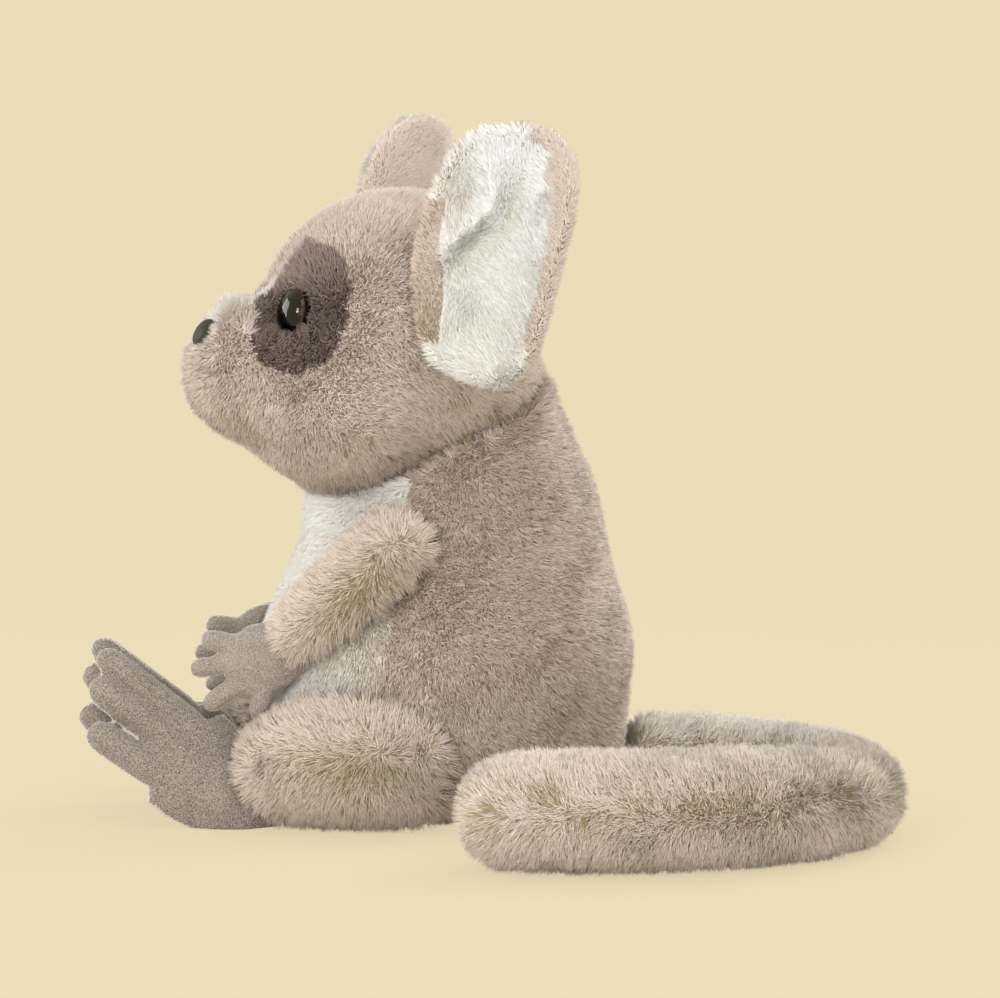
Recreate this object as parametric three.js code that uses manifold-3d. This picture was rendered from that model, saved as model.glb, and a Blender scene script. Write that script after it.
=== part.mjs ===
// A seated plush bush baby, in millimetres, +Z up. It faces -Y, and +X is its own left.
// The origin is on the floor under the middle of the seat.
//
// The toy is sewn from pile cloth panels over loose filling. The body, head, limbs and tail
// are swollen forms: each is a smooth union of ellipsoids, or a round tube along a curve.
// Panels are the wall of such a form, and the filling is what the wall leaves inside.

import * as THREE from "three";
import { mergeVertices } from "three/addons/utils/BufferGeometryUtils.js";
import Module from "manifold-3d";

const wasm = await Module();
wasm.setup();

// Cloth, seams and resting faces
const SEAM_GAP = 0.3; // between two pieces that touch
const PILE_CLOTH = 6; // pile fabric with its pile pressed down

// The body: a broad belly, a chest and a neck, with a bean bag in the seat
const BODY_BLEND = 9;
const BODY_MIDDLE = [0, 2, 80];
const BELLY = { at: [0, 0.5, 38], size: [56, 69.5, 41], flatness: 4.5 };
const WAIST = { at: [0, 2, 72], size: [50, 60.5, 50] };
const CHEST = { at: [0, 5, 110], size: [38.5, 54, 46] };
const NECK = { at: [0, 10, 146], size: [29, 32, 36] };
const BELLY_SEAM_AT = [0, -24, 95]; // the cream front panel ends at a plane through this point
const BELLY_SEAM_FACING = [0, 0.98, -0.2]; // towards the back panel
const BEAN_BAG = { at: [0, 2, 18], size: [38, 48, 18] };

// The head, in its own straight-ahead frame, then turned a little to its left
const HEAD_TURN = 6; // degrees
const HEAD_PIVOT = [0, -10, 150];
const HEAD_BLEND = 3.8;
const HEAD_MIDDLE = [0, -25, 176];
const SKULL = { at: [0, -16.5, 184], size: [52, 52, 51] };
const NAPE = { at: [0, 2, 172], size: [42, 32.5, 30] };
const CHEEKS = { at: [0, -41, 154.5], size: [48, 35.5, 31.3] };
const MUZZLE = { at: [0, -63, 168.7], size: [29, 36.5, 27.5], flatness: 2.6 };
const NECK_HOLE_RADIUS = 18;
const NECK_HOLE_DEPTH = 60; // below the head's pivot, right through the cloth

// Eye patches and the pale stripe on the muzzle are let into the head panels
const PATCH_AT = [28, -55, 193];
const PATCH_FACING = [0.52, -0.83, 0.18];
const PATCH_WIDTH = 32;
const PATCH_HEIGHT = 45;
const PATCH_LEAN = -14; // degrees, the top leans back
const STRIPE_AT = [0, -78, 196];
const STRIPE_FACING = [0, -0.55, 0.83];
const STRIPE_WIDTH = 19;
const STRIPE_LENGTH = 32;
const INSET_REACH = 12; // how deep the cut for an inset goes
const SEAT_SEARCH = 12; // a seat is looked for from this far inside the head

// Safety eyes: a clear cap on a base whose post goes through the cloth into a washer
const EYE_AT = [22, -62, 192.5];
const EYE_FACING = [0.21, -0.955, 0.2];
const EYE_DIAMETER = 18;
const EYE_CAP_HEIGHT = 5;
const EYE_BASE_HEIGHT = 1.6;
const EYE_SUNK = 3; // the base lies this far below the tips of the pile
const POST_DIAMETER = 4;
const POST_LENGTH = 12;
const WASHER_DIAMETER = 13;
const WASHER_THICKNESS = 1.4;
const WASHER_SEAT = 1.5; // room between the inside of the curved cloth and the flat washer

// The nose is a wide matt lens on a post of its own
const NOSE_AT = [0, -90, 182];
const NOSE_FACING = [0, -0.83, 0.56];
const NOSE_WIDTH = 15;
const NOSE_HEIGHT = 11.5;
const NOSE_DEPTH = 4.5;
const NOSE_RIM = 1.2;
const NOSE_SUNK = 6;

// Ears: a long cup sewn to the side of the head, its front edge rolled over
const EAR_MIDDLE = [62, 4.2, 213];
const EAR_RISING = [0.13, 0.24, 0.97];
const EAR_FACING = [0.72, -0.69, 0.02];
const EAR_LENGTH = 99;
const EAR_WIDTH = 63;
const EAR_SQUARE = 0.76; // less than 1 gives a squarer outline than an ellipse
const EAR_CLOTH = 3.8; // pile fabric of the back, and of the lining
const EAR_CUP_RADIUS = 46;
const EAR_FLARE = 9; // how far the foot of the ear stands out from the head
const EAR_ROLL_RADIUS = 9; // of the front edge
const EAR_ROLL_WIDTH = 7; // of the cloth that rolls over, where it is most
const EAR_ROLL_HEIGHT = 0.3; // where that is, as a share of half the length above the middle
const EAR_ROLL_SPREAD = 0.55; // how far up and down the roll goes, as the same share
const EAR_RIM = 4.5; // width of the back cloth that shows round the lining
const EAR_SEAM = 1.3; // between the back and the lining, whose facets follow tight curves
const PLEAT_HEIGHT = 7; // of the fold in the lining
const PLEAT_CLIMB = 15; // width of its slope on the front side
const PLEAT_DROP = 5; // and of its steep side
const PLEAT_FADE = 0.14; // over which each end runs out, as a share of half the ear's length
// its crest, from the foot up: [height as the same share, distance from the middle line]
const PLEAT_CREST = [
  [-0.12, -22],
  [0.3, -2],
  [0.75, -8],
];
const EAR_HINGE_TOP = [36, -16, 226];
const EAR_HINGE_FOOT = [56, 0, 172];

// Arms, from the shoulder to the wrist: [x, y, z, radius]
const ARM = [
  [40, -23.5, 105, 17],
  [40, -34, 95, 16.8],
  [38, -46, 83, 16.3],
  [33.5, -57, 73, 14.6],
];
const RIGHT_ARM_LOWER = 16; // degrees that the right arm hangs down further
const RIGHT_HAND_SHIFT = [0, 5, 0]; // and its hand lies further back
const HAND_AT = [24, -73.2, 61];
const HAND_TOWARDS = [-0.2, -0.93, -0.27];
const HAND_LEAN = 8; // degrees
const PALM = { along: 16, across: 14, thick: 5.8 };
const WRIST = { back: 15, along: 14, across: 12.5, thick: 9 };
// each digit in the plane of the hand: [where it starts along and across, its tip, its radius]
const FINGERS = [
  [6, 8, 14.5, 12.5, 4.2],
  [8, 2, 21.5, 3.5, 4],
  [6, -5, 20, -10, 4.2],
  [-2, -8, 4, -17.5, 4.6],
];

// Legs, from the hip to the ankle: [x, y, z, radius]
const LEG = [
  [38, -17, 27.5, 28.5],
  [38.5, -36, 28, 29],
  [36.5, -53, 25.5, 26],
  [31.5, -65, 21.5, 21.5],
];
const FOOT_AT = [23, -99, 24.5];
const FOOT_TOWARDS = [-0.1, -0.725, 0.68];
const FOOT_LEAN = 20; // degrees, the upper edge of the sole leans to the middle
const SOLE = { along: 26, across: 23, thick: 6.5 };
const HEEL = { back: 25, along: 21, across: 17, thick: 11 };
const TOES = [
  [8, -12, 30, -15, 6.4],
  [8, 1, 40.5, -2, 6.4],
  [8, 11, 46.5, 8, 5.6],
];
const MITT_BLEND = 2.5;
const MITT_SEAT = 0.5; // the filling stops this share of the way along the pad inside the cuff
const RIGHT_FOOT_SHIFT = [0, 0.5, -1]; // the right foot lies a little further back and lower

// The tail: from the back seam out, round and forward along the left side
const TAIL = [
  [0, 70, 17, 16.5],
  [3, 98, 16.5, 17],
  [24, 127, 16, 17],
  [62, 142, 17, 17.5],
  [101, 136, 17.5, 19],
  [124, 101, 20.5, 22.5],
  [130, 52, 21.3, 23.3],
  [122, 6, 21.3, 22.9],
];

// How far each part swings on its seam, in degrees
const HEAD_SWING = [-10, 10];
const EAR_SWING = [-10, 10];
const ARM_SWING = [0, 22];
const LEG_SWING = [0, 20];
const TAIL_SWING = [-3, 15];
const SWING_STEPS = 2;
const FORM_REACH = 120; // every form ends within this distance of its middle
const SHOULDER_PIVOT = [36, -14, 114];
const HIP_PIVOT = [38, -8, 27];
const TAIL_PIVOT = [0, 72, 17];

// Facets
const BODY_DETAIL = 5;
const HEAD_DETAIL = 6;
const FILLING_DETAIL = 3;
const SWING_GAP = 0.7; // between two forms that turn against each other
const EAR_ROOT_GAP = 0.05; // between an ear and the head, where it is sewn on
const NECK_GAP = 1.5; // under the head, where the cutting form has coarser facets
const PAD_DETAIL = 2;
const PATCH_FACETS = 20;
const EYE_FACETS = 14;
const DOME_STEPS = 4;
const LIMB_SIDES = 12;
const LIMB_RINGS = 5;
const CAVITY_SIDES = 10;
const TAIL_RINGS = 15;
const CAP_RINGS = 3;
const DIGIT_SIDES = 6;
const DIGIT_CAPS = 2;
const EAR_FACETS = 22;
const EAR_RINGS = 4;
const LINING_RINGS = 8;

const UP = new THREE.Vector3(0, 0, 1);
const SIDE = new THREE.Vector3(1, 0, 0);
const MIRROR = new THREE.Matrix4().makeScale(-1, 1, 1);
const radians = THREE.MathUtils.degToRad;
const vector = ([x, y, z]) => new THREE.Vector3(x, y, z);

// A closed geometry as a solid that can be joined and cut.
function solid(geometry) {
  const bare = geometry.clone();
  bare.deleteAttribute("normal");
  bare.deleteAttribute("uv");
  const merged = mergeVertices(bare, 1e-4);
  return new wasm.Manifold(new wasm.Mesh({
    numProp: 3,
    vertProperties: new Float32Array(merged.attributes.position.array),
    triVerts: new Uint32Array(merged.index.array),
  }));
}

// A named mesh made from a solid.
function piece(name, made, material) {
  const data = made.getMesh();
  const geometry = new THREE.BufferGeometry();
  geometry.setAttribute("position", new THREE.BufferAttribute(data.vertProperties, 3));
  geometry.setIndex(new THREE.BufferAttribute(data.triVerts, 1));
  geometry.computeVertexNormals();
  const mesh = new THREE.Mesh(geometry, material);
  mesh.name = name;
  return mesh;
}

// The solid after a three.js matrix.
function moved(made, matrix) {
  return made.transform(matrix.elements);
}

// The matrix of a turn about an axis through a point.
function turnAbout(point, axis, degrees) {
  const there = new THREE.Matrix4().makeTranslation(...point);
  const turn = new THREE.Matrix4().makeRotationAxis(axis, radians(degrees));
  const back = new THREE.Matrix4().makeTranslation(...point.map((n) => -n));
  return there.multiply(turn).multiply(back);
}

// A solid at every step of its own swing, joined.
function swept(made, point, axis, [least, most]) {
  let whole = moved(made, turnAbout(point, axis, least));
  for (let step = 1; step <= SWING_STEPS; step += 1) {
    const angle = least + ((most - least) * step) / SWING_STEPS;
    whole = whole.add(moved(made, turnAbout(point, axis, angle)));
  }
  return whole;
}

// What a swinging part has to keep clear of: its neighbour, turned the other way.
function keptClear(neighbour, point, axis, swing) {
  return swept(neighbour, point, axis.clone().negate(), swing);
}

// The matrix that puts +Z along a direction at a point, with +Y as near to upright as it can be.
function facing(at, towards) {
  const outward = vector(towards).normalize();
  const across = new THREE.Vector3().crossVectors(UP, outward).normalize();
  const upright = new THREE.Vector3().crossVectors(outward, across);
  return new THREE.Matrix4().makeBasis(across, upright, outward).setPosition(...at);
}

// The matrix of a flat hand or foot: +X along it, +Y across it and upwards, +Z to its inner side.
function flatwise(at, towards, lean) {
  const along = vector(towards).normalize();
  const inner = new THREE.Vector3().crossVectors(along, UP).normalize();
  const across = new THREE.Vector3().crossVectors(inner, along);
  const level = new THREE.Matrix4().makeBasis(along, across, inner);
  return level.multiply(new THREE.Matrix4().makeRotationX(radians(lean))).setPosition(...at);
}

// A large block whose face passes through a point; it lies where the normal points.
function halfSpace(point, normal) {
  const reach = 600;
  const block = new THREE.BoxGeometry(reach, reach, reach);
  block.translate(0, 0, reach / 2);
  block.applyQuaternion(new THREE.Quaternion().setFromUnitVectors(UP, normal.clone().normalize()));
  block.translate(...point);
  return solid(block);
}

// How far a point lies outside a smooth union of ellipsoids.
function outside({ lobes, blend }, point) {
  let sum = 0;
  for (const { at, size, flatness = 2 } of lobes) {
    const level = Math.hypot((point[0] - at[0]) / size[0], (point[1] - at[1]) / size[1]);
    const upright = Math.abs((point[2] - at[2]) / size[2]);
    const reach = (level ** flatness + upright ** flatness) ** (1 / flatness) - 1;
    sum += Math.exp((-reach * Math.cbrt(size[0] * size[1] * size[2])) / blend);
  }
  return -blend * Math.log(sum);
}

// The point where a ray from inside a form leaves it, when the form is grown.
function leaving(form, from, ray, grown) {
  let near = 0;
  let far = FORM_REACH;
  for (let halving = 0; halving < 26; halving += 1) {
    const middle = (near + far) / 2;
    const point = from.map((n, axis) => n + ray.getComponent(axis) * middle);
    if (outside(form, point) > grown) far = middle;
    else near = middle;
  }
  return from.map((n, axis) => n + ray.getComponent(axis) * near);
}

// A swollen form: every ray from its middle ends on the smooth union.
function swollen(form, grown, detail) {
  const ball = new THREE.IcosahedronGeometry(1, detail);
  const places = ball.attributes.position;
  for (let i = 0; i < places.count; i += 1) {
    const ray = new THREE.Vector3().fromBufferAttribute(places, i).normalize();
    places.setXYZ(i, ...leaving(form, form.middle, ray, grown));
  }
  return solid(ball);
}

// A closed solid over rows of points. Each row is a ring, and the two end rows meet in a point.
function skinned(points, sides) {
  const rows = points.length / sides;
  const corners = points.flatMap((point) => [point.x, point.y, point.z]);
  const faces = [];
  for (let row = 0; row < rows - 1; row += 1) {
    for (let k = 0; k < sides; k += 1) {
      const a = row * sides + k;
      const b = row * sides + ((k + 1) % sides);
      if (row > 0) faces.push(a, b, a + sides);
      if (row < rows - 2) faces.push(b, b + sides, a + sides);
    }
  }
  const shape = new THREE.BufferGeometry();
  shape.setAttribute("position", new THREE.BufferAttribute(new Float32Array(corners), 3));
  shape.setIndex(faces);
  return solid(shape);
}

// A round tube with domed ends along the smooth curve through [x, y, z, radius] stations.
function tube(stations, { rings, grown = 0, sides = LIMB_SIDES, caps = CAP_RINGS }) {
  const route = new THREE.CatmullRomCurve3(stations.map(vector), false, "centripetal");
  const radii = new THREE.CatmullRomCurve3(
    stations.map((station) => new THREE.Vector3(station[3], 0, 0)), false, "catmullrom");
  const points = [];
  const addHoop = (t, along, shrink) => {
    const tangent = route.getTangent(t);
    const radius = radii.getPoint(t).x + grown;
    const centre = route.getPoint(t).addScaledVector(tangent, along * radius);
    const across = new THREE.Vector3().crossVectors(tangent, UP);
    across.normalize();
    const above = new THREE.Vector3().crossVectors(across, tangent);
    for (let k = 0; k < sides; k += 1) {
      const angle = (-2 * Math.PI * k) / sides;
      const point = centre.clone();
      point.addScaledVector(across, radius * shrink * Math.cos(angle));
      point.addScaledVector(above, radius * shrink * Math.sin(angle));
      points.push(point);
    }
  };
  for (let i = caps; i > 0; i -= 1) {
    const angle = (Math.PI / 2) * (i / caps);
    addHoop(0, -Math.sin(angle), i === caps ? 0 : Math.cos(angle));
  }
  for (let i = 0; i <= rings; i += 1) addHoop(i / rings, 0, 1);
  for (let i = 1; i <= caps; i += 1) {
    const angle = (Math.PI / 2) * (i / caps);
    addHoop(1, Math.sin(angle), i === caps ? 0 : Math.cos(angle));
  }
  return skinned(points, sides);
}

// A turned solid from [radius, height] points that start and end on the axis.
function turned(profile, facets = EYE_FACETS) {
  const outline = profile.map(([radius, height]) => new THREE.Vector2(radius, height));
  const lathe = new THREE.LatheGeometry(outline, facets);
  lathe.rotateX(Math.PI / 2);
  return solid(lathe);
}

// A plain rod along Z, round or oval.
function rod(radius, bottom, top, widen = 1, facets = EYE_FACETS) {
  const made = turned([[0, bottom], [radius, bottom], [radius, top], [0, top]], facets);
  return moved(made, new THREE.Matrix4().makeScale(widen, 1, 1));
}

const FLOOR = halfSpace([0, 0, 0], UP.clone().negate());

// Pile cloth is matt; the olive tinge of the long pile shows on the limbs and the tail.
const cloth = (colour) => new THREE.MeshStandardMaterial({ color: colour, roughness: 0.95, metalness: 0 });
const FAWN_SHORT = cloth(0x9d8c7b);
const FAWN_HEAD = cloth(0xac9b8a);
const FAWN_LONG = cloth(0xb3a391);
const CREAM = cloth(0xe2ddd1);
const BROWN_PATCH = cloth(0x74655a);
const SUEDE = cloth(0xa5978a);
const FILLING = cloth(0xf1efe9);
const BEANS = cloth(0xd9d9d4);
const CLEAR = new THREE.MeshStandardMaterial({
  color: 0xffffff, roughness: 0.05, metalness: 0, transparent: true, opacity: 0.3,
});
const IRIS = new THREE.MeshStandardMaterial({ color: 0x2c1a10, roughness: 0.2, metalness: 0 });
const NOSE = new THREE.MeshStandardMaterial({ color: 0x3d3c39, roughness: 0.5, metalness: 0 });
const NYLON = new THREE.MeshStandardMaterial({ color: 0xe8e8e2, roughness: 0.5, metalness: 0 });

const body = { lobes: [BELLY, WAIST, CHEST, NECK], blend: BODY_BLEND, middle: BODY_MIDDLE };
const head = { lobes: [SKULL, NAPE, CHEEKS, MUZZLE], blend: HEAD_BLEND, middle: HEAD_MIDDLE };
const turnHead = turnAbout(HEAD_PIVOT, UP, HEAD_TURN);
const FILLING_DEPTH = PILE_CLOTH + SEAM_GAP;

// The body: two cloth panels, the filling and the bean bag that keeps the toy upright.
function torso() {
  const room = moved(swollen(head, NECK_GAP, FILLING_DETAIL), turnHead);
  const headRoom = swept(room, HEAD_PIVOT, UP, HEAD_SWING);
  const outer = swollen(body, 0, BODY_DETAIL).subtract(FLOOR).subtract(headRoom);
  const shell = outer.subtract(swollen(body, -PILE_CLOTH, FILLING_DETAIL));
  const backwards = vector(BELLY_SEAM_FACING).normalize();
  const seam = (side) => {
    const face = vector(BELLY_SEAM_AT).addScaledVector(backwards, (side * SEAM_GAP) / 2);
    return halfSpace(face.toArray(), backwards.clone().multiplyScalar(side));
  };
  const bagForm = (grown) => swollen({ lobes: [BEAN_BAG], blend: 1, middle: BEAN_BAG.at },
    grown, FILLING_DETAIL);
  const filling = swollen(body, -FILLING_DEPTH, FILLING_DETAIL).subtract(headRoom);
  const bag = bagForm(0).intersect(swollen(body, -FILLING_DEPTH, FILLING_DETAIL));
  return [
    piece("torso_back_panel", shell.intersect(seam(1)), FAWN_SHORT),
    piece("torso_belly_panel", shell.intersect(seam(-1)), CREAM),
    piece("torso_stuffing", filling.subtract(bagForm(SEAM_GAP)), FILLING),
    piece("bean_bag", bag, BEANS),
  ];
}

// Where something sewn or pushed through the head sits on its surface.
function seatOnHead(at, towards) {
  const outward = vector(towards).normalize();
  const start = vector(at).addScaledVector(outward, -SEAT_SEARCH);
  return facing(leaving(head, start.toArray(), outward, 0), towards);
}

// An eye: a clear cap on a dark base whose post goes into a washer behind the cloth.
function eyeParts() {
  const place = seatOnHead(EYE_AT, EYE_FACING);
  const sunk = new THREE.Matrix4().makeTranslation(0, 0, -EYE_SUNK - EYE_BASE_HEIGHT);
  const frame = place.clone().multiply(sunk);
  const radius = EYE_DIAMETER / 2;
  const capBottom = EYE_BASE_HEIGHT + SEAM_GAP;
  const dome = [[0, capBottom]];
  for (let i = 0; i <= DOME_STEPS; i += 1) {
    const angle = (Math.PI / 2) * (i / DOME_STEPS);
    dome.push([i === DOME_STEPS ? 0 : radius * Math.cos(angle), capBottom + EYE_CAP_HEIGHT * Math.sin(angle)]);
  }
  const top = washerTop(EYE_SUNK + EYE_BASE_HEIGHT);
  const post = POST_DIAMETER / 2;
  const base = [[0, -POST_LENGTH], [post, -POST_LENGTH], [post, 0], [radius, 0],
    [radius, EYE_BASE_HEIGHT], [0, EYE_BASE_HEIGHT]];
  return {
    cap: moved(turned(dome), frame),
    base: moved(turned(base), frame),
    washer: moved(washer(top), frame),
    room: moved(roomFor(radius, top), frame),
    pocket: moved(pocketFor(top), frame),
  };
}

// The washer's outer face lies just inside the cloth, measured from the back of the base.
const washerTop = (baseDepth) => baseDepth - PILE_CLOTH - WASHER_SEAT;

function washer(top) {
  const outer = WASHER_DIAMETER / 2;
  const ring = rod(outer, top - WASHER_THICKNESS, top);
  return ring.subtract(rod(POST_DIAMETER / 2 + SEAM_GAP, top - WASHER_THICKNESS - 1, top + 1));
}

// What the cloth makes room for: the post, its washer and the rim in front of the cloth.
function roomFor(radius, top, widen = 1) {
  const inner = WASHER_DIAMETER / 2 + SEAM_GAP;
  const front = rod(radius + SEAM_GAP, -SEAM_GAP, EYE_CAP_HEIGHT * 3, widen);
  const hole = rod(POST_DIAMETER / 2 + SEAM_GAP, -POST_LENGTH - SEAM_GAP, 0);
  return front.add(hole).add(rod(inner, top - WASHER_THICKNESS - SEAM_GAP, top + SEAM_GAP));
}

// What the filling leaves free in front of the washer.
function pocketFor(top) {
  return rod(WASHER_DIAMETER / 2 + SEAM_GAP, top - WASHER_THICKNESS - SEAM_GAP, EYE_CAP_HEIGHT);
}

function noseParts() {
  const sunk = new THREE.Matrix4().makeTranslation(0, 0, -NOSE_SUNK);
  const frame = seatOnHead(NOSE_AT, NOSE_FACING).multiply(sunk);
  const radius = NOSE_HEIGHT / 2;
  const widen = NOSE_WIDTH / NOSE_HEIGHT;
  const dome = [[0, 0]];
  for (let i = 0; i <= DOME_STEPS; i += 1) {
    const angle = (Math.PI / 2) * (i / DOME_STEPS);
    dome.push([i === DOME_STEPS ? 0 : radius * Math.cos(angle), NOSE_RIM + NOSE_DEPTH * Math.sin(angle)]);
    if (i === 0) dome.splice(1, 0, [radius, 0]);
  }
  const lens = moved(turned(dome), new THREE.Matrix4().makeScale(widen, 1, 1));
  const post = rod(POST_DIAMETER / 2, -POST_LENGTH, NOSE_RIM);
  const top = washerTop(NOSE_SUNK);
  return {
    button: moved(lens.add(post), frame),
    washer: moved(washer(top), frame),
    room: moved(roomFor(radius, top, widen), frame),
    pocket: moved(pocketFor(top), frame),
  };
}

// An oval column that cuts an inset out of the head's cloth.
function insetColumn(at, towards, width, height, lean, grown) {
  const frame = seatOnHead(at, towards).multiply(new THREE.Matrix4().makeRotationZ(radians(lean)));
  const tall = height / 2 + grown;
  return moved(rod(tall, -INSET_REACH, INSET_REACH, (width / 2 + grown) / tall, PATCH_FACETS), frame);
}

// The head: left and right panels that meet along the middle, the insets, eyes, nose and filling.
function headPieces() {
  const eye = eyeParts();
  const nose = noseParts();
  const mirror = (made) => moved(made, MIRROR);
  const rooms = eye.room.add(mirror(eye.room)).add(nose.room);
  const pockets = eye.pocket.add(mirror(eye.pocket)).add(nose.pocket).add(rooms);
  const neckHole = moved(rod(NECK_HOLE_RADIUS, -NECK_HOLE_DEPTH, 0), new THREE.Matrix4().makeTranslation(...HEAD_PIVOT));
  const shell = swollen(head, 0, HEAD_DETAIL)
    .subtract(swollen(head, -PILE_CLOTH, FILLING_DETAIL)).subtract(rooms).subtract(neckHole);
  const patch = (grown) => insetColumn(PATCH_AT, PATCH_FACING, PATCH_WIDTH, PATCH_HEIGHT, PATCH_LEAN, grown);
  const stripe = (grown) => insetColumn(STRIPE_AT, STRIPE_FACING, STRIPE_WIDTH, STRIPE_LENGTH, 0, grown);
  const panels = shell.subtract(patch(SEAM_GAP)).subtract(mirror(patch(SEAM_GAP))).subtract(stripe(SEAM_GAP));
  const half = (side) => halfSpace([(side * SEAM_GAP) / 2, 0, 0], SIDE.clone().multiplyScalar(side));
  const filling = swollen(head, -FILLING_DEPTH, FILLING_DETAIL).subtract(pockets);
  const made = [
    ["head_left_panel", panels.intersect(half(1)), FAWN_HEAD],
    ["head_right_panel", panels.intersect(half(-1)), FAWN_HEAD],
    ["head_stuffing", filling, FILLING],
    ["muzzle_stripe", shell.intersect(stripe(0)), CREAM],
    ["nose_button", nose.button, NOSE],
    ["nose_washer", nose.washer, NYLON],
    ["eye_patch_left", shell.intersect(patch(0)), BROWN_PATCH],
    ["eye_cap_left", eye.cap, CLEAR],
    ["eye_base_left", eye.base, IRIS],
    ["eye_washer_left", eye.washer, NYLON],
    ["eye_patch_right", shell.intersect(mirror(patch(0))), BROWN_PATCH],
    ["eye_cap_right", mirror(eye.cap), CLEAR],
    ["eye_base_right", mirror(eye.base), IRIS],
    ["eye_washer_right", mirror(eye.washer), NYLON],
  ];
  return made.map(([name, part, material]) => piece(name, moved(part, turnHead), material));
}

const squarer = (value) => Math.sign(value) * Math.abs(value) ** EAR_SQUARE;

// A point of the ear's cup. Share 0 is its middle and 1 its rim; depth is measured towards
// the hollow side. The front edge rolls over on a small radius, most of all above the middle.
function earPoint(share, angle, depth) {
  const rise = share * squarer(Math.sin(angle));
  const level = 1 - Math.abs(rise) ** (2 / EAR_SQUARE);
  const half = (EAR_WIDTH / 2) * Math.max(level, 0) ** (EAR_SQUARE / 2);
  const along = (EAR_WIDTH / 2) * share * squarer(Math.cos(angle));
  const rolled = EAR_ROLL_WIDTH * Math.exp(-(((rise - EAR_ROLL_HEIGHT) / EAR_ROLL_SPREAD) ** 2));
  const straight = Math.max(half - rolled, 0);
  const held = Math.max(along, -straight);
  const turn = held / EAR_CUP_RADIUS;
  let across = EAR_CUP_RADIUS * Math.sin(turn);
  let out = EAR_CUP_RADIUS * (1 - Math.cos(turn));
  let heading = turn;
  if (along < -straight) {
    const start = straight / EAR_CUP_RADIUS;
    const end = start + (-straight - along) / EAR_ROLL_RADIUS;
    across -= EAR_ROLL_RADIUS * (Math.sin(end) - Math.sin(start));
    out += EAR_ROLL_RADIUS * (Math.cos(start) - Math.cos(end));
    heading = -end;
  }
  across -= depth * Math.sin(heading);
  out += depth * Math.cos(heading);
  const rising = vector(EAR_RISING).normalize();
  const normal = vector(EAR_FACING).normalize();
  const sideways = new THREE.Vector3().crossVectors(rising, normal).normalize();
  const opening = new THREE.Vector3().crossVectors(sideways, rising);
  const point = vector(EAR_MIDDLE);
  point.x += EAR_FLARE * THREE.MathUtils.smoothstep(-rise, 0, 1);
  point.addScaledVector(rising, (rise * EAR_LENGTH) / 2);
  point.addScaledVector(sideways, across);
  point.addScaledVector(opening, out);
  return point;
}

// How high the lining's fold stands: it climbs from the front edge and drops steeply at its crest.
function pleatHeight(share, angle) {
  const rise = share * squarer(Math.sin(angle));
  const along = (EAR_WIDTH / 2) * share * squarer(Math.cos(angle));
  const [foot, bend, top] = PLEAT_CREST;
  const [from, to] = rise < bend[0] ? [foot, bend] : [bend, top];
  const crest = THREE.MathUtils.mapLinear(rise, from[0], to[0], from[1], to[1]);
  const climb = THREE.MathUtils.smoothstep(along, crest - PLEAT_CLIMB, crest);
  const drop = THREE.MathUtils.smoothstep(along, crest, crest + PLEAT_DROP);
  const begun = THREE.MathUtils.smoothstep(rise, foot[0] - PLEAT_FADE, foot[0]);
  const ended = THREE.MathUtils.smoothstep(rise, top[0], top[0] + PLEAT_FADE);
  return PLEAT_HEIGHT * climb * (1 - drop) * begun * (1 - ended);
}

// A layer of the ear from [share, depth, whether folded] rows that run from its middle, round an
// edge and back.
function earLayer(rows) {
  const points = [];
  for (const [share, depth, folded] of rows) {
    for (let k = 0; k < EAR_FACETS; k += 1) {
      const angle = (2 * Math.PI * k) / EAR_FACETS;
      points.push(earPoint(share, angle, depth + (folded ? pleatHeight(share, angle) : 0)));
    }
  }
  return skinned(points, EAR_FACETS);
}

// The ear's fawn back wraps its rim, and the cream lining lies inside that rim.
function earPieces() {
  const headShape = swollen(head, EAR_ROOT_GAP, HEAD_DETAIL);
  const hinge = vector(EAR_HINGE_TOP).sub(vector(EAR_HINGE_FOOT)).normalize();
  const clear = keptClear(headShape, EAR_HINGE_FOOT, hinge, EAR_SWING);
  const rim = 1 - EAR_RIM / (EAR_WIDTH / 2);
  const shares = [];
  for (let i = 0; i < EAR_RINGS; i += 1) shares.push((i / EAR_RINGS) ** 0.75);
  const outward = shares.map((share) => [share * 0.97, -EAR_CLOTH]);
  const inward = shares.map((share) => [share * rim, -EAR_SEAM / 2]).reverse();
  const back = earLayer([...outward, [0.97, -EAR_CLOTH * 0.8], [1, 0], [0.97, EAR_CLOTH * 0.8],
    [rim, EAR_CLOTH], [rim, -EAR_SEAM / 2], ...inward]);
  const inset = rim - EAR_SEAM / (EAR_WIDTH / 2);
  const under = shares.map((share) => [share * inset, EAR_SEAM / 2]);
  const over = [];
  for (let i = LINING_RINGS - 1; i >= 0; i -= 1) over.push([(inset * i) / LINING_RINGS, EAR_CLOTH, true]);
  const lining = earLayer([...under, [inset, EAR_SEAM / 2], [inset, EAR_CLOTH * 0.85], ...over]);
  const made = [];
  for (const [side, flip] of [["left", new THREE.Matrix4()], ["right", MIRROR]]) {
    const place = turnHead.clone().multiply(flip);
    made.push(piece("ear_back_" + side, moved(back.subtract(clear), place), FAWN_HEAD));
    made.push(piece("ear_lining_" + side, moved(lining.subtract(clear), place), CREAM));
  }
  return made;
}

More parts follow.
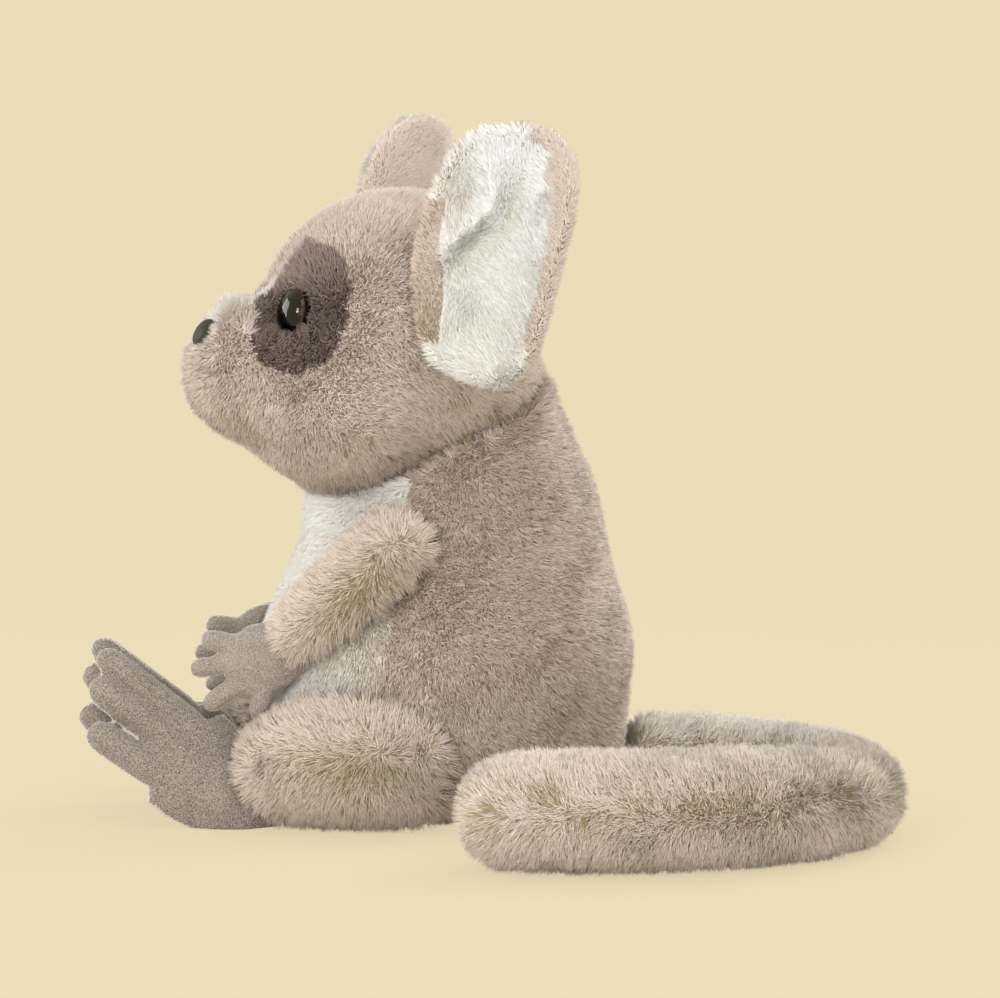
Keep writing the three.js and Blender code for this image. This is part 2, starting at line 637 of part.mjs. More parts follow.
// A flat suede hand or foot: rounded pads along its length, and digits as small tubes.
function mitt({ pads, digits }, grown) {
  const form = {
    lobes: pads.map(({ back = 0, along, across, thick }) => ({ at: [-back, 0, 0], size: [along, across, thick] })),
    blend: MITT_BLEND,
    middle: [-pads[1].back / 2, 0, 0],
  };
  let made = swollen(form, grown, PAD_DETAIL);
  for (const [fromAlong, fromAcross, toAlong, toAcross, radius] of digits) {
    const stations = [[fromAlong, fromAcross, 0, radius], [toAlong, toAcross, 0, radius]];
    made = made.add(tube(stations, { rings: 1, grown, sides: DIGIT_SIDES, caps: DIGIT_CAPS }));
  }
  return made;
}

// A limb: a cloth sleeve open where it joins the body, its filling, and a suede mitt in two panels.
function limbPieces({ route, pivot, axis, swing, mittShape, mittPlace, neighbours, names }, side) {
  const clear = (grown) => keptClear(swollen(body, SWING_GAP + grown, BODY_DETAIL), pivot, axis, swing);
  const place = side === "right" ? MIRROR : new THREE.Matrix4();
  const outer = tube(route, { rings: LIMB_RINGS }).subtract(FLOOR).subtract(clear(0));
  const cavity = tube(route, { rings: LIMB_RINGS, grown: -PILE_CLOTH, sides: CAVITY_SIDES })
    .subtract(clear(PILE_CLOTH));
  const neckRadius = route[0][3] / 2;
  const inwards = [pivot, ...route.slice(0, 2).map((station) => station.slice(0, 3))];
  const opening = tube(inwards.map((point) => [...point, neckRadius]),
    { rings: 2, sides: CAVITY_SIDES, caps: 1 });
  const mittRoom = moved(mitt(mittShape, SEAM_GAP), mittPlace);
  const forward = new THREE.Vector3().setFromMatrixColumn(mittPlace, 0);
  const outward = new THREE.Vector3().setFromMatrixColumn(mittPlace, 2);
  const middle = new THREE.Vector3().setFromMatrixPosition(mittPlace);
  const cuffPad = mittShape.pads[1];
  const inCuff = middle.clone().addScaledVector(forward, -cuffPad.back - cuffPad.along * MITT_SEAT);
  const beyondCuff = halfSpace(inCuff.toArray(), forward);
  const sleeve = outer.subtract(cavity).subtract(opening).subtract(mittRoom);
  const filling = tube(route, { rings: LIMB_RINGS, grown: -FILLING_DEPTH, sides: CAVITY_SIDES })
    .subtract(clear(FILLING_DEPTH)).subtract(mittRoom).subtract(beyondCuff);
  let whole = moved(mitt(mittShape, 0), mittPlace).subtract(FLOOR).subtract(clear(0));
  for (const neighbour of neighbours) whole = whole.subtract(neighbour);
  const half = (sign) => {
    const face = middle.clone().addScaledVector(outward, (sign * SEAM_GAP) / 2);
    return halfSpace(face.toArray(), outward.clone().multiplyScalar(sign));
  };
  return [
    piece(names[0] + "_" + side, moved(sleeve, place), FAWN_LONG),
    piece(names[1] + "_" + side, moved(filling, place), FILLING),
    piece(names[2] + "_" + side, moved(whole.intersect(half(1)), place), SUEDE),
    piece(names[3] + "_" + side, moved(whole.intersect(half(-1)), place), SUEDE),
  ];
}

function armPieces(side) {
  const hang = turnAbout(SHOULDER_PIVOT, SIDE, side === "right" ? RIGHT_ARM_LOWER : 0);
  const shift = side === "right" ? RIGHT_HAND_SHIFT : [0, 0, 0];
  const place = HAND_AT.map((n, axis) => n + shift[axis]);
  return limbPieces({
    route: ARM.map((station) => [...vector(station).applyMatrix4(hang).toArray(), station[3]]),
    pivot: SHOULDER_PIVOT,
    axis: SIDE.clone().negate(),
    swing: ARM_SWING,
    mittShape: { pads: [PALM, WRIST], digits: FINGERS },
    mittPlace: flatwise(place, HAND_TOWARDS, HAND_LEAN),
    neighbours: [tube(LEG, { rings: LIMB_RINGS, grown: SWING_GAP })],
    names: ["arm_sleeve", "arm_stuffing", "hand_inner_panel", "hand_outer_panel"],
  }, side);
}

function legPieces(side) {
  const shift = side === "right" ? RIGHT_FOOT_SHIFT : [0, 0, 0];
  const place = FOOT_AT.map((n, axis) => n + shift[axis]);
  return limbPieces({
    route: LEG,
    pivot: HIP_PIVOT,
    axis: UP,
    swing: LEG_SWING,
    mittShape: { pads: [SOLE, HEEL], digits: TOES },
    mittPlace: flatwise(place, FOOT_TOWARDS, FOOT_LEAN),
    neighbours: [],
    names: ["leg_sleeve", "leg_stuffing", "foot_inner_panel", "foot_outer_panel"],
  }, side);
}

// The tail: one long sleeve that is open at its root, and its filling.
function tailPieces() {
  const clear = keptClear(swollen(body, SWING_GAP, BODY_DETAIL), TAIL_PIVOT, UP, TAIL_SWING);
  const outer = tube(TAIL, { rings: TAIL_RINGS }).subtract(FLOOR).subtract(clear);
  const inside = (depth) => tube(TAIL, { rings: TAIL_RINGS, grown: -depth, sides: CAVITY_SIDES });
  const cavity = inside(PILE_CLOTH);
  const filling = inside(FILLING_DEPTH).subtract(clear);
  return [
    piece("tail_sleeve", outer.subtract(cavity), FAWN_LONG),
    piece("tail_stuffing", filling, FILLING),
  ];
}

const toy = new THREE.Group();
toy.add(...torso(), ...headPieces(), ...earPieces());
for (const side of ["left", "right"]) toy.add(...armPieces(side), ...legPieces(side));
toy.add(...tailPieces());

export default toy;
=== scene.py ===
"""A seated plush bush baby: pile cloth over filling, suede hands and feet, glossy safety eyes.

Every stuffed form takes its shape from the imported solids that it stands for. They are joined
into one smooth skin, a little inside the cloth's outer face, and the pile grows from it.
"""

import math
from typing import NamedTuple

import bpy
import numpy as np
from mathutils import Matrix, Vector
from mathutils.bvhtree import BVHTree
from mathutils.kdtree import KDTree


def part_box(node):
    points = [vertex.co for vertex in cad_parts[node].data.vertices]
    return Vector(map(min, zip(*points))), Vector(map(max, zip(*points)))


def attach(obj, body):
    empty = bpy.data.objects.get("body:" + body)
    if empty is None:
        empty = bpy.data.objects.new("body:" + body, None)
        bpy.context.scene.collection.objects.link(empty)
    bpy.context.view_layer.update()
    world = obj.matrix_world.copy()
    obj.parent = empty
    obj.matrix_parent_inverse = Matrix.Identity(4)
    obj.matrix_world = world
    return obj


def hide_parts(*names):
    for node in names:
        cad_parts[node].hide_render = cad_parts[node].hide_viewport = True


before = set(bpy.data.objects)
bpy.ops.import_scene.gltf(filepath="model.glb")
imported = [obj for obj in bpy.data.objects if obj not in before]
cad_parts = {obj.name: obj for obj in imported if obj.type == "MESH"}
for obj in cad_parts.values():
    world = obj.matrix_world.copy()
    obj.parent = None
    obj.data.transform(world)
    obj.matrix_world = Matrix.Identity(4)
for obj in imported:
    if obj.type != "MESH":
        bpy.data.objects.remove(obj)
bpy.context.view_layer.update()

MM = 0.001
SEED = 11
SIDES = ("left", "right")

# The camera looks at the toy's left side, a little from the front and from above
VIEW_AZIMUTH = 10  # degrees in front of straight on to the side
VIEW_HEIGHT = 7  # degrees
VIEW_DISTANCE = 1.45  # metres
VIEW_TARGET = Vector((0, 0.0225, 0.117))
SENSOR_WIDTH = 36  # mm
MM_PER_PIXEL = 0.38  # at the target
PICTURE_WIDTH = 1000  # pixels

BACKDROP = "#ebddb8"
BOUNCE_COLOUR = "#e8e3d6"  # what the floor throws back on the toy
FLOOR_COLOUR = "#cfc2a2"  # as dark as makes the floor, under these lamps, look like the backdrop
FLOOR_PLAIN_SHARE = 0.8  # of the floor's look near the toy that is the backdrop's plain colour
SHADOW_REACH = 0.6  # metres, where the floor has become the plain backdrop
FLOOR_REACH = 30.0  # metres
SKIN_FLOOR = 0.4  # mm, the lowest that a skin lies above the floor


def linear(hex_colour):
    """An sRGB hex colour as linear red, green, blue and alpha."""
    parts = [int(hex_colour[i:i + 2], 16) / 255 for i in (1, 3, 5)]
    bent = [p / 12.92 if p <= 0.04045 else ((p + 0.055) / 1.055) ** 2.4 for p in parts]
    return (*bent, 1.0)


def add_node(tree, kind, links=None, **settings):
    """Adds a node, with its settings, values by socket name, and links from other sockets."""
    made = tree.nodes.new(kind)
    for name, value in settings.items():
        if name in made.inputs:
            made.inputs[name].default_value = value
        else:
            setattr(made, name, value)
    for name, source in (links or {}).items():
        tree.links.new(source, made.inputs[name])
    return made


def material(name):
    """A new material and its node tree, with only the output in it."""
    made = bpy.data.materials.new(name)
    made.use_nodes = True
    made.node_tree.nodes.clear()
    return made, made.node_tree


def finish_material(tree, shader):
    """Links the shader to the material's output."""
    output = tree.nodes.new("ShaderNodeOutputMaterial")
    tree.links.new(shader.outputs[0], output.inputs["Surface"])


def shader_with(tree, colour, roughness, links=None, **values):
    """The material's Principled shader, with constant values set on its own sockets."""
    shader = tree.nodes.new("ShaderNodeBsdfPrincipled")
    shader.inputs["Roughness"].default_value = roughness
    if colour:
        shader.inputs["Base Color"].default_value = linear(colour)
    for socket, value in values.items():
        shader.inputs[socket.replace("_", " ")].default_value = value
    for socket, source in (links or {}).items():
        tree.links.new(source, shader.inputs[socket])
    return shader


def noise(tree, size_mm, detail=2.0, roughness=0.5):
    """Noise over the object's own coordinates, with features of a real size."""
    place = add_node(tree, "ShaderNodeTexCoord")
    return add_node(tree, "ShaderNodeTexNoise", {"Vector": place.outputs["Object"]},
                    Scale=1 / (size_mm * MM), Detail=detail, Roughness=roughness)


def two_tone(tree, factor, low, high, start=0.35, end=0.65):
    """A colour ramp between two sRGB colours."""
    ramp = add_node(tree, "ShaderNodeValToRGB", {"Fac": factor})
    ramp.color_ramp.elements[0].color = linear(low)
    ramp.color_ramp.elements[0].position = start
    ramp.color_ramp.elements[1].color = linear(high)
    ramp.color_ramp.elements[1].position = end
    return ramp.outputs["Color"]


def bump(tree, height, depth_mm, strength=1.0):
    """A bump of a real depth."""
    made = add_node(tree, "ShaderNodeBump", {"Height": height}, Distance=depth_mm * MM, Strength=strength)
    return made.outputs["Normal"]


# Materials

NAP_SIZE = 0.5  # mm
NAP_TUFT = 1.1  # mm
NAP_CLOUDS = 0.15  # of suede's pattern that is clouds and not nap


def pile_fibre(name, colour, roughness=0.7):
    """One shade of polyester pile fibre: matt, with the soft gleam of fine round fibres at its edge."""
    made, tree = material(name)
    fine = noise(tree, 1.5)
    normal = bump(tree, fine.outputs["Fac"], 0.05, 0.3)
    shader = shader_with(tree, colour, roughness, {"Normal": normal}, Sheen_Weight=0.6,
                         Sheen_Roughness=0.4, Sheen_Tint=linear(colour), Specular_IOR_Level=0.2, IOR=1.5)
    finish_material(tree, shader)
    return made


def pile_backing(name, dark, light):
    """The knitted backing and the roots of the pile, darker than the tips because light doesn't reach in."""
    made, tree = material(name)
    mottle = noise(tree, 7, 4)
    roots = noise(tree, 0.9, 2)
    colour = two_tone(tree, mottle.outputs["Fac"], dark, light)
    normal = bump(tree, roots.outputs["Fac"], 0.6)
    shader = shader_with(tree, None, 1.0, {"Base Color": colour, "Normal": normal}, Sheen_Weight=0.2,
                         Specular_IOR_Level=0.1)
    finish_material(tree, shader)
    return made


def suede(name, dark, light):
    """Brushed polyester suede: a matt nap whose brushing leaves lighter and darker clouds.

    The nap is drawn coarser than the real one, which would be too fine to see from the camera."""
    made, tree = material(name)
    clouds = noise(tree, 9, 4, 0.6)
    nap = noise(tree, NAP_SIZE, 2, 0.6)
    place = add_node(tree, "ShaderNodeTexCoord")
    grain = add_node(tree, "ShaderNodeTexVoronoi", {"Vector": place.outputs["Object"]},
                     Scale=1 / (NAP_TUFT * MM), feature="F1")
    mixed = add_node(tree, "ShaderNodeMix", {2: nap.outputs["Fac"], 3: clouds.outputs["Fac"]})
    mixed.inputs[0].default_value = NAP_CLOUDS
    colour = two_tone(tree, mixed.outputs[0], dark, light, 0.38, 0.6)
    height = add_node(tree, "ShaderNodeMath", {0: nap.outputs["Fac"], 1: grain.outputs["Distance"]},
                      operation="ADD")
    normal = bump(tree, height.outputs[0], 0.4)
    shader = shader_with(tree, None, 0.9, {"Base Color": colour, "Normal": normal}, Sheen_Weight=0.5,
                         Sheen_Roughness=0.35, Specular_IOR_Level=0.15)
    finish_material(tree, shader)
    return made


def seam_thread(name, colour):
    """The turned edge of two suede panels, a paler line than the flat of the cloth."""
    made, tree = material(name)
    lit_share = noise(tree, 1.2, 3)
    normal = bump(tree, lit_share.outputs["Fac"], 0.2)
    shader = shader_with(tree, colour, 0.85, {"Normal": normal}, Sheen_Weight=0.3)
    finish_material(tree, shader)
    return made


def clear_acrylic(name):
    """Polished clear acrylic of a safety eye's dome: sharp highlights and a view to the iris behind."""
    made, tree = material(name)
    wear = noise(tree, 6, 2)
    normal = bump(tree, wear.outputs["Fac"], 0.01, 0.2)
    shader = shader_with(tree, "#ffffff", 0.02, {"Normal": normal}, Transmission_Weight=1.0, IOR=1.49,
                         Specular_IOR_Level=0.35)
    finish_material(tree, shader)
    return made


def painted_iris(name, middle, radius, pupil_share):
    """The painted back of the eye: a black pupil in a brown iris with fine streaks and a dark rim."""
    made, tree = material(name)
    place = add_node(tree, "ShaderNodeTexCoord")
    offset = add_node(tree, "ShaderNodeVectorMath", {0: place.outputs["Object"]}, operation="SUBTRACT")
    offset.inputs[1].default_value = middle
    length = add_node(tree, "ShaderNodeVectorMath", {0: offset.outputs[0]}, operation="LENGTH")
    share = add_node(tree, "ShaderNodeMath", {0: length.outputs["Value"]}, operation="DIVIDE")
    share.inputs[1].default_value = radius
    ramp = add_node(tree, "ShaderNodeValToRGB", {"Fac": share.outputs[0]})
    stops = ramp.color_ramp.elements
    stops[0].position = pupil_share
    stops[0].color = linear("#040404")
    stops[1].position = pupil_share + 0.06
    stops[1].color = linear("#4a2b18")
    for position, colour in ((0.9, "#5c3a26"), (0.96, "#26140a"), (1.0, "#0a0705")):
        stop = stops.new(position)
        stop.color = linear(colour)
    shader = shader_with(tree, None, 0.5, {"Base Color": ramp.outputs["Color"]}, Specular_IOR_Level=0.0)
    finish_material(tree, shader)
    return made


def satin_moulding(name, colour, grain_mm, depth_mm, roughness):
    """Moulded plastic with a satin grain, which spreads a highlight into a soft patch."""
    made, tree = material(name)
    grain = noise(tree, grain_mm, 3)
    normal = bump(tree, grain.outputs["Fac"], depth_mm)
    shader = shader_with(tree, colour, roughness, {"Normal": normal}, IOR=1.5)
    finish_material(tree, shader)
    return made


def background_rays(tree):
    """One for the rays that see the background: the camera's own, and those that gloss or glass sends on."""
    rays = add_node(tree, "ShaderNodeLightPath")
    total = rays.outputs["Is Camera Ray"]
    for kind in ("Is Glossy Ray", "Is Transmission Ray"):
        both = add_node(tree, "ShaderNodeMath", {0: total, 1: rays.outputs[kind]}, operation="MAXIMUM")
        total = both.outputs[0]
    return total


def paper_sweep(name):
    """The plain pale floor: seen directly it keeps the backdrop's colour, and it takes a soft shadow."""
    made, tree = material(name)
    grain = noise(tree, 400, 1)
    normal = bump(tree, grain.outputs["Fac"], 0.1, 0.1)
    lit = shader_with(tree, FLOOR_COLOUR, 0.95, {"Normal": normal}, Specular_IOR_Level=0.0)
    bounce = shader_with(tree, BOUNCE_COLOUR, 0.95, {"Normal": normal}, Specular_IOR_Level=0.0)
    plain = add_node(tree, "ShaderNodeEmission", Color=linear(BACKDROP), Strength=1.0)
    place = add_node(tree, "ShaderNodeTexCoord")
    away = add_node(tree, "ShaderNodeVectorMath", {0: place.outputs["Object"]}, operation="LENGTH")
    share = add_node(tree, "ShaderNodeMapRange", {"Value": away.outputs["Value"]},
                     interpolation_type="SMOOTHSTEP")
    share.inputs["From Min"].default_value = SHADOW_REACH / 3
    share.inputs["From Max"].default_value = SHADOW_REACH
    share.inputs["To Min"].default_value = FLOOR_PLAIN_SHARE
    share.inputs["To Max"].default_value = 1.0
    seen = add_node(tree, "ShaderNodeMixShader", {0: share.outputs["Result"], 1: lit.outputs[0],
                                                  2: plain.outputs[0]})
    mixed = add_node(tree, "ShaderNodeMixShader", {0: background_rays(tree), 1: bounce.outputs[0],
                                                   2: seen.outputs[0]})
    finish_material(tree, mixed)
    return made


# Meshes as arrays


def triangles_of(mesh):
    """A mesh's points and triangles as arrays."""
    mesh.calc_loop_triangles()
    points = np.empty(len(mesh.vertices) * 3, np.float32)
    mesh.vertices.foreach_get("co", points)
    corners = np.empty(len(mesh.loop_triangles) * 3, np.int32)
    mesh.loop_triangles.foreach_get("vertices", corners)
    return points.reshape(-1, 3).astype(float), corners.reshape(-1, 3)


def normals_of(points, triangles):
    """Smooth normals at the points."""
    a, b, c = (points[triangles[:, k]] for k in range(3))
    faces = np.cross(b - a, c - a)
    total = np.zeros_like(points)
    for k in range(3):
        for axis in range(3):
            total[:, axis] += np.bincount(triangles[:, k], faces[:, axis], len(points))
    return unit(total)


def unit(vectors):
    """The vectors at length one."""
    return vectors / np.maximum(np.linalg.norm(vectors, axis=-1, keepdims=True), 1e-12)


def new_object(name, mesh):
    """A new object in the scene."""
    made = bpy.data.objects.new(name, mesh)
    bpy.context.collection.objects.link(made)
    return made


def mesh_from(name, points, faces, shades=None, materials=(), normals=None):
    """A smooth mesh from arrays of points and of triangles, with its own normals if they are given."""
    mesh = bpy.data.meshes.new(name)
    mesh.vertices.add(len(points))
    mesh.vertices.foreach_set("co", np.asarray(points, np.float32).ravel())
    mesh.loops.add(len(faces) * 3)
    mesh.loops.foreach_set("vertex_index", np.asarray(faces, np.int32).ravel())
    mesh.polygons.add(len(faces))
    mesh.polygons.foreach_set("loop_start", np.arange(0, len(faces) * 3, 3, dtype=np.int32))
    for made in materials:
        mesh.materials.append(made)
    if shades is not None:
        mesh.polygons.foreach_set("material_index", np.asarray(shades, np.int32))
    mesh.polygons.foreach_set("use_smooth", np.full(len(faces), True))
    if normals is not None:
        given = mesh.attributes.new("custom_normal", "FLOAT_VECTOR", "POINT")
        given.data.foreach_set("vector", np.asarray(normals, np.float32).ravel())
    mesh.update(calc_edges=True)
    return mesh


def largest_shell(points, triangles):
    """Only the outermost of several separate closed surfaces: the one with the most triangles."""
    label = np.arange(len(points))
    while True:
        least = label[triangles].min(axis=1)
        newer = label.copy()
        for k in range(3):
            np.minimum.at(newer, triangles[:, k], least)
        newer = newer[newer]
        if np.array_equal(newer, label):
            break
        label = newer
    names, counts = np.unique(label[triangles[:, 0]], return_counts=True)
    kept = triangles[label[triangles[:, 0]] == names[counts.argmax()]]
    used, compact = np.unique(kept, return_inverse=True)
    return points[used], compact.reshape(-1, 3)


def relaxed(points, triangles, rounds):
    """The points after rounds of smoothing, each towards the mean of its neighbours."""
    pairs = np.vstack([triangles[:, [0, 1]], triangles[:, [1, 2]], triangles[:, [2, 0]]])
    pairs = np.unique(np.sort(pairs, axis=1), axis=0)
    both = np.vstack([pairs, pairs[:, ::-1]])
    count = np.bincount(both[:, 0], minlength=len(points))[:, None]
    for _ in range(rounds):
        total = np.empty_like(points)
        for axis in range(3):
            total[:, axis] = np.bincount(both[:, 0], points[both[:, 1], axis], len(points))
        points = points + 0.5 * (total / count - points)
    return points


class Skin:
    """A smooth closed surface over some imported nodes, with the node that each point belongs to."""

    def __init__(self, name, nodes, voxel, rounds, inset):
        self.name = name
        self.nodes = nodes
        self.points, self.triangles = joined_and_remeshed(name, nodes, voxel * MM)
        self.points = relaxed(self.points, self.triangles, rounds)
        self.normals = normals_of(self.points, self.triangles)
        self.region, self.seam = nearest_nodes(self.points, nodes)
        self.outer = self.points
        self.points = self.outer - self.normals * inset * MM
        self.points[:, 2] = np.maximum(self.points[:, 2], SKIN_FLOOR * MM)

    def distance_to(self, other):
        """How far each point of the cloth's outer face lies from another skin's, in mm."""
        tree = BVHTree.FromPolygons(other.outer.tolist(), other.triangles.tolist())
        return np.array([tree.find_nearest(point)[3] for point in self.outer.tolist()]) / MM

    def meet(self, other, reach):
        """Brings the skin out to the cloth's outer face where another skin lies within reach, in mm."""
        share = faded(self.distance_to(other), reach)[:, None]
        self.points = self.points + (self.outer - self.points) * share
        self.points[:, 2] = np.maximum(self.points[:, 2], SKIN_FLOOR * MM)

    def hollows(self, rounds):
        """How far each point lies below the surface's own smoothed form, in mm."""
        smooth = relaxed(self.outer, self.triangles, rounds)
        return ((smooth - self.outer) * self.normals).sum(axis=1) / MM

    def build(self, materials, slots):
        """The skin as an object. Slots gives a material's index for each node's share of it."""
        shade = np.array(slots)[self.region[self.triangles[:, 0]]]
        return new_object(self.name, mesh_from(self.name, self.points, self.triangles, shade, materials))


def joined_and_remeshed(name, nodes, voxel):
    """The nodes' solids joined through a voxel grid, as the points and triangles of the outer surface."""
    points, faces, start = [], [], 0
    for node in nodes:
        more, triangles = triangles_of(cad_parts[node].data)
        points.append(more)
        faces.append(triangles + start)
        start += len(more)
    source = new_object(name + "_source", mesh_from(name + "_source", np.vstack(points), np.vstack(faces)))
    grid = source.modifiers.new("grid", "REMESH")
    grid.mode = "VOXEL"
    grid.voxel_size = voxel
    graph = bpy.context.evaluated_depsgraph_get()
    mesh = bpy.data.meshes.new_from_object(source.evaluated_get(graph))
    bpy.data.objects.remove(source)
    return largest_shell(*triangles_of(mesh))


def nearest_nodes(points, nodes):
    """For each point, the index of the nearest node, and how much further the second nearest is."""
    away = np.empty((len(nodes), len(points)))
    for i, node in enumerate(nodes):
        more, triangles = triangles_of(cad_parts[node].data)
        tree = BVHTree.FromPolygons(more.tolist(), triangles.tolist())
        away[i] = [tree.find_nearest(point)[3] for point in points.tolist()]
    order = np.sort(away, axis=0)
    return away.argmin(axis=0), order[1] - order[0]


# Pile


class Coat(NamedTuple):
    """How the pile grows on one kind of cloth. A strand stands for a lock of many finer fibres."""

    length: float  # mm
    density: float  # strands per square mm
    width: float  # mm, of a strand at its root
    lay: float  # how far it leans along the cloth, as a share of how far it stands up
    spread: float  # how far single strands stray, likewise
    tuft: float  # mm between tufts
    gather: float  # how far the tips of a tuft draw together
    swirl: float = 0.3  # how far the pile strays from its lie in slow swells
    soft: float = 0.74  # how far a strand takes its shading from the cloth under it


SHORT = Coat(length=4.4, density=5.4, width=0.49, lay=0.42, spread=0.26, tuft=2.5, gather=0.48, swirl=0.35)
HEAD_SHORT = Coat(length=4.3, density=5.4, width=0.5, lay=0.46, spread=0.24, tuft=2.4, gather=0.42, swirl=0.4)
BELLY = Coat(length=3.6, density=5.6, width=0.5, lay=0.8, spread=0.08, tuft=1.5, gather=0.05, swirl=0.2)
LONG = Coat(length=5.8, density=5.2, width=0.45, lay=0.52, spread=0.25, tuft=2.9, gather=0.46, swirl=0.55)
EAR_SHORT = Coat(length=2.8, density=5.4, width=0.52, lay=0.55, spread=0.15, tuft=1.8, gather=0.15, soft=0.5)
LINING = Coat(length=3.9, density=5, width=0.5, lay=0.55, spread=0.18, tuft=2.6, gather=0.3, swirl=0.6,
              soft=0.6)

PILE_SHARE = 1.0  # of the strands that a finished render grows
PILE_FLOOR = 0.2  # mm, the lowest that a strand lies above the floor
UNDERCOAT_SHARE = 0.35  # of all strands
UNDERCOAT_LENGTH = 0.7  # of a top strand's length
LENGTH_SPREAD = 0.14
LENGTH_LIMITS = (0.5, 1.4)
LEAST_LENGTH = 0.3  # mm, below which no strand grows
WIDTH_LIMITS = (0.7, 1.25)
GATHER_LIMITS = (0.5, 1.0)
TIP_LEAN = 0.3  # how far a tip's shading turns from the cloth's towards the strand's own direction
WAVE_COUNT = 6
WAVE_STRETCH = (0.7, 1.5)
SWIRL_SIZE = 26  # mm
MOTTLE_SIZE = 16  # mm
MOTTLE_SHARE = 0.35  # of the strands, at most, that the darker clouds in the pile change


def scattered(skin, density, rng):
    """Random roots on a skin, by area: places, normals and the skin's nearest point to each."""
    a, b, c = (skin.points[skin.triangles[:, k]] for k in range(3))
    area = np.linalg.norm(np.cross(b - a, c - a), axis=1) / 2 / MM ** 2
    count = int(area.sum() * density * PILE_SHARE)
    chosen = np.searchsorted(np.cumsum(area) / area.sum(), rng.random(count))
    share = np.sort(rng.random((count, 2)), axis=1)
    weights = np.stack([share[:, 0], share[:, 1] - share[:, 0], 1 - share[:, 1]], axis=1)
    corners = skin.triangles[chosen]
    places = (skin.points[corners] * weights[..., None]).sum(axis=1)
    normals = unit((skin.normals[corners] * weights[..., None]).sum(axis=1))
    return places, normals, corners[np.arange(count), weights.argmax(axis=1)]


def waves(places, size, seed):
    """Smooth random values over space, mostly from -1 to 1, with swells of about the size in mm."""
    rng = np.random.default_rng(SEED + seed)
    total = np.zeros(len(places))
    for _ in range(WAVE_COUNT):
        direction = unit(rng.normal(0, 1, 3))
        total += np.sin(places @ direction * 2 * math.pi / (size * MM * rng.uniform(*WAVE_STRETCH))
                        + rng.uniform(0, 2 * math.pi))
    return total / math.sqrt(WAVE_COUNT)


def swirl(places):
    """Smooth random directions over space."""
    return np.stack([waves(places, SWIRL_SIZE, seed) for seed in (21, 22, 23)], axis=1)


def tufted(tips, roots, per_tuft, gather, rng):
    """The tips after strands draw together, so many to a tuft, round strands picked at random."""
    leaders = rng.permutation(len(roots))[: max(int(len(roots) / max(per_tuft, 1)), 1)]
    tree = KDTree(len(leaders))
    for i, leader in enumerate(leaders):
        tree.insert(roots[leader], i)
    tree.balance()
    nearest = leaders[np.array([tree.find(root)[1] for root in roots.tolist()])]
    draw = gather * rng.uniform(*GATHER_LIMITS, (len(roots), 1))
    return tips + (tips[nearest] - tips) * draw


def spikes(roots, tips, normals, coat, rng):
    """A three-sided spike for each strand, as points, their shading normals and triangles."""
    axis = unit(tips - roots)
    across = unit(np.cross(axis, rng.normal(0, 1, roots.shape)))
    other = np.cross(axis, across)
    radius = coat.width * MM / math.sqrt(PILE_SHARE) * rng.uniform(*WIDTH_LIMITS, len(roots)) / 2
    points, shading = [], []
    for angle in (0, 2 * math.pi / 3, 4 * math.pi / 3):
        away = math.cos(angle) * across + math.sin(angle) * other
        ring = roots + away * radius[:, None]
        ring[:, 2] = np.maximum(ring[:, 2], PILE_FLOOR * MM)
        points.append(ring)
        shading.append(unit(normals * coat.soft + away * (1 - coat.soft)))
    points.append(tips)
    shading.append(unit(normals + TIP_LEAN * axis))
    base = np.arange(len(roots))[:, None] * 4
    faces = [base + sides for sides in ([0, 1, 3], [1, 2, 3], [2, 0, 3])]
    return tuple(np.stack(each, axis=1).reshape(-1, 3) for each in (points, shading, faces))


def strand_shades(cloths, grown, cloth, under, rng):
    """A material for each strand, from its cloth's undercoat or top coat."""
    index = np.zeros(len(cloth), int)
    for place in grown:
        for coat, choice in ((True, cloths[place][0]), (False, cloths[place][1])):
            here = np.nonzero((cloth == place) & (under == coat))[0]
            index[here] = rng.choice(choice, len(here))
    return index


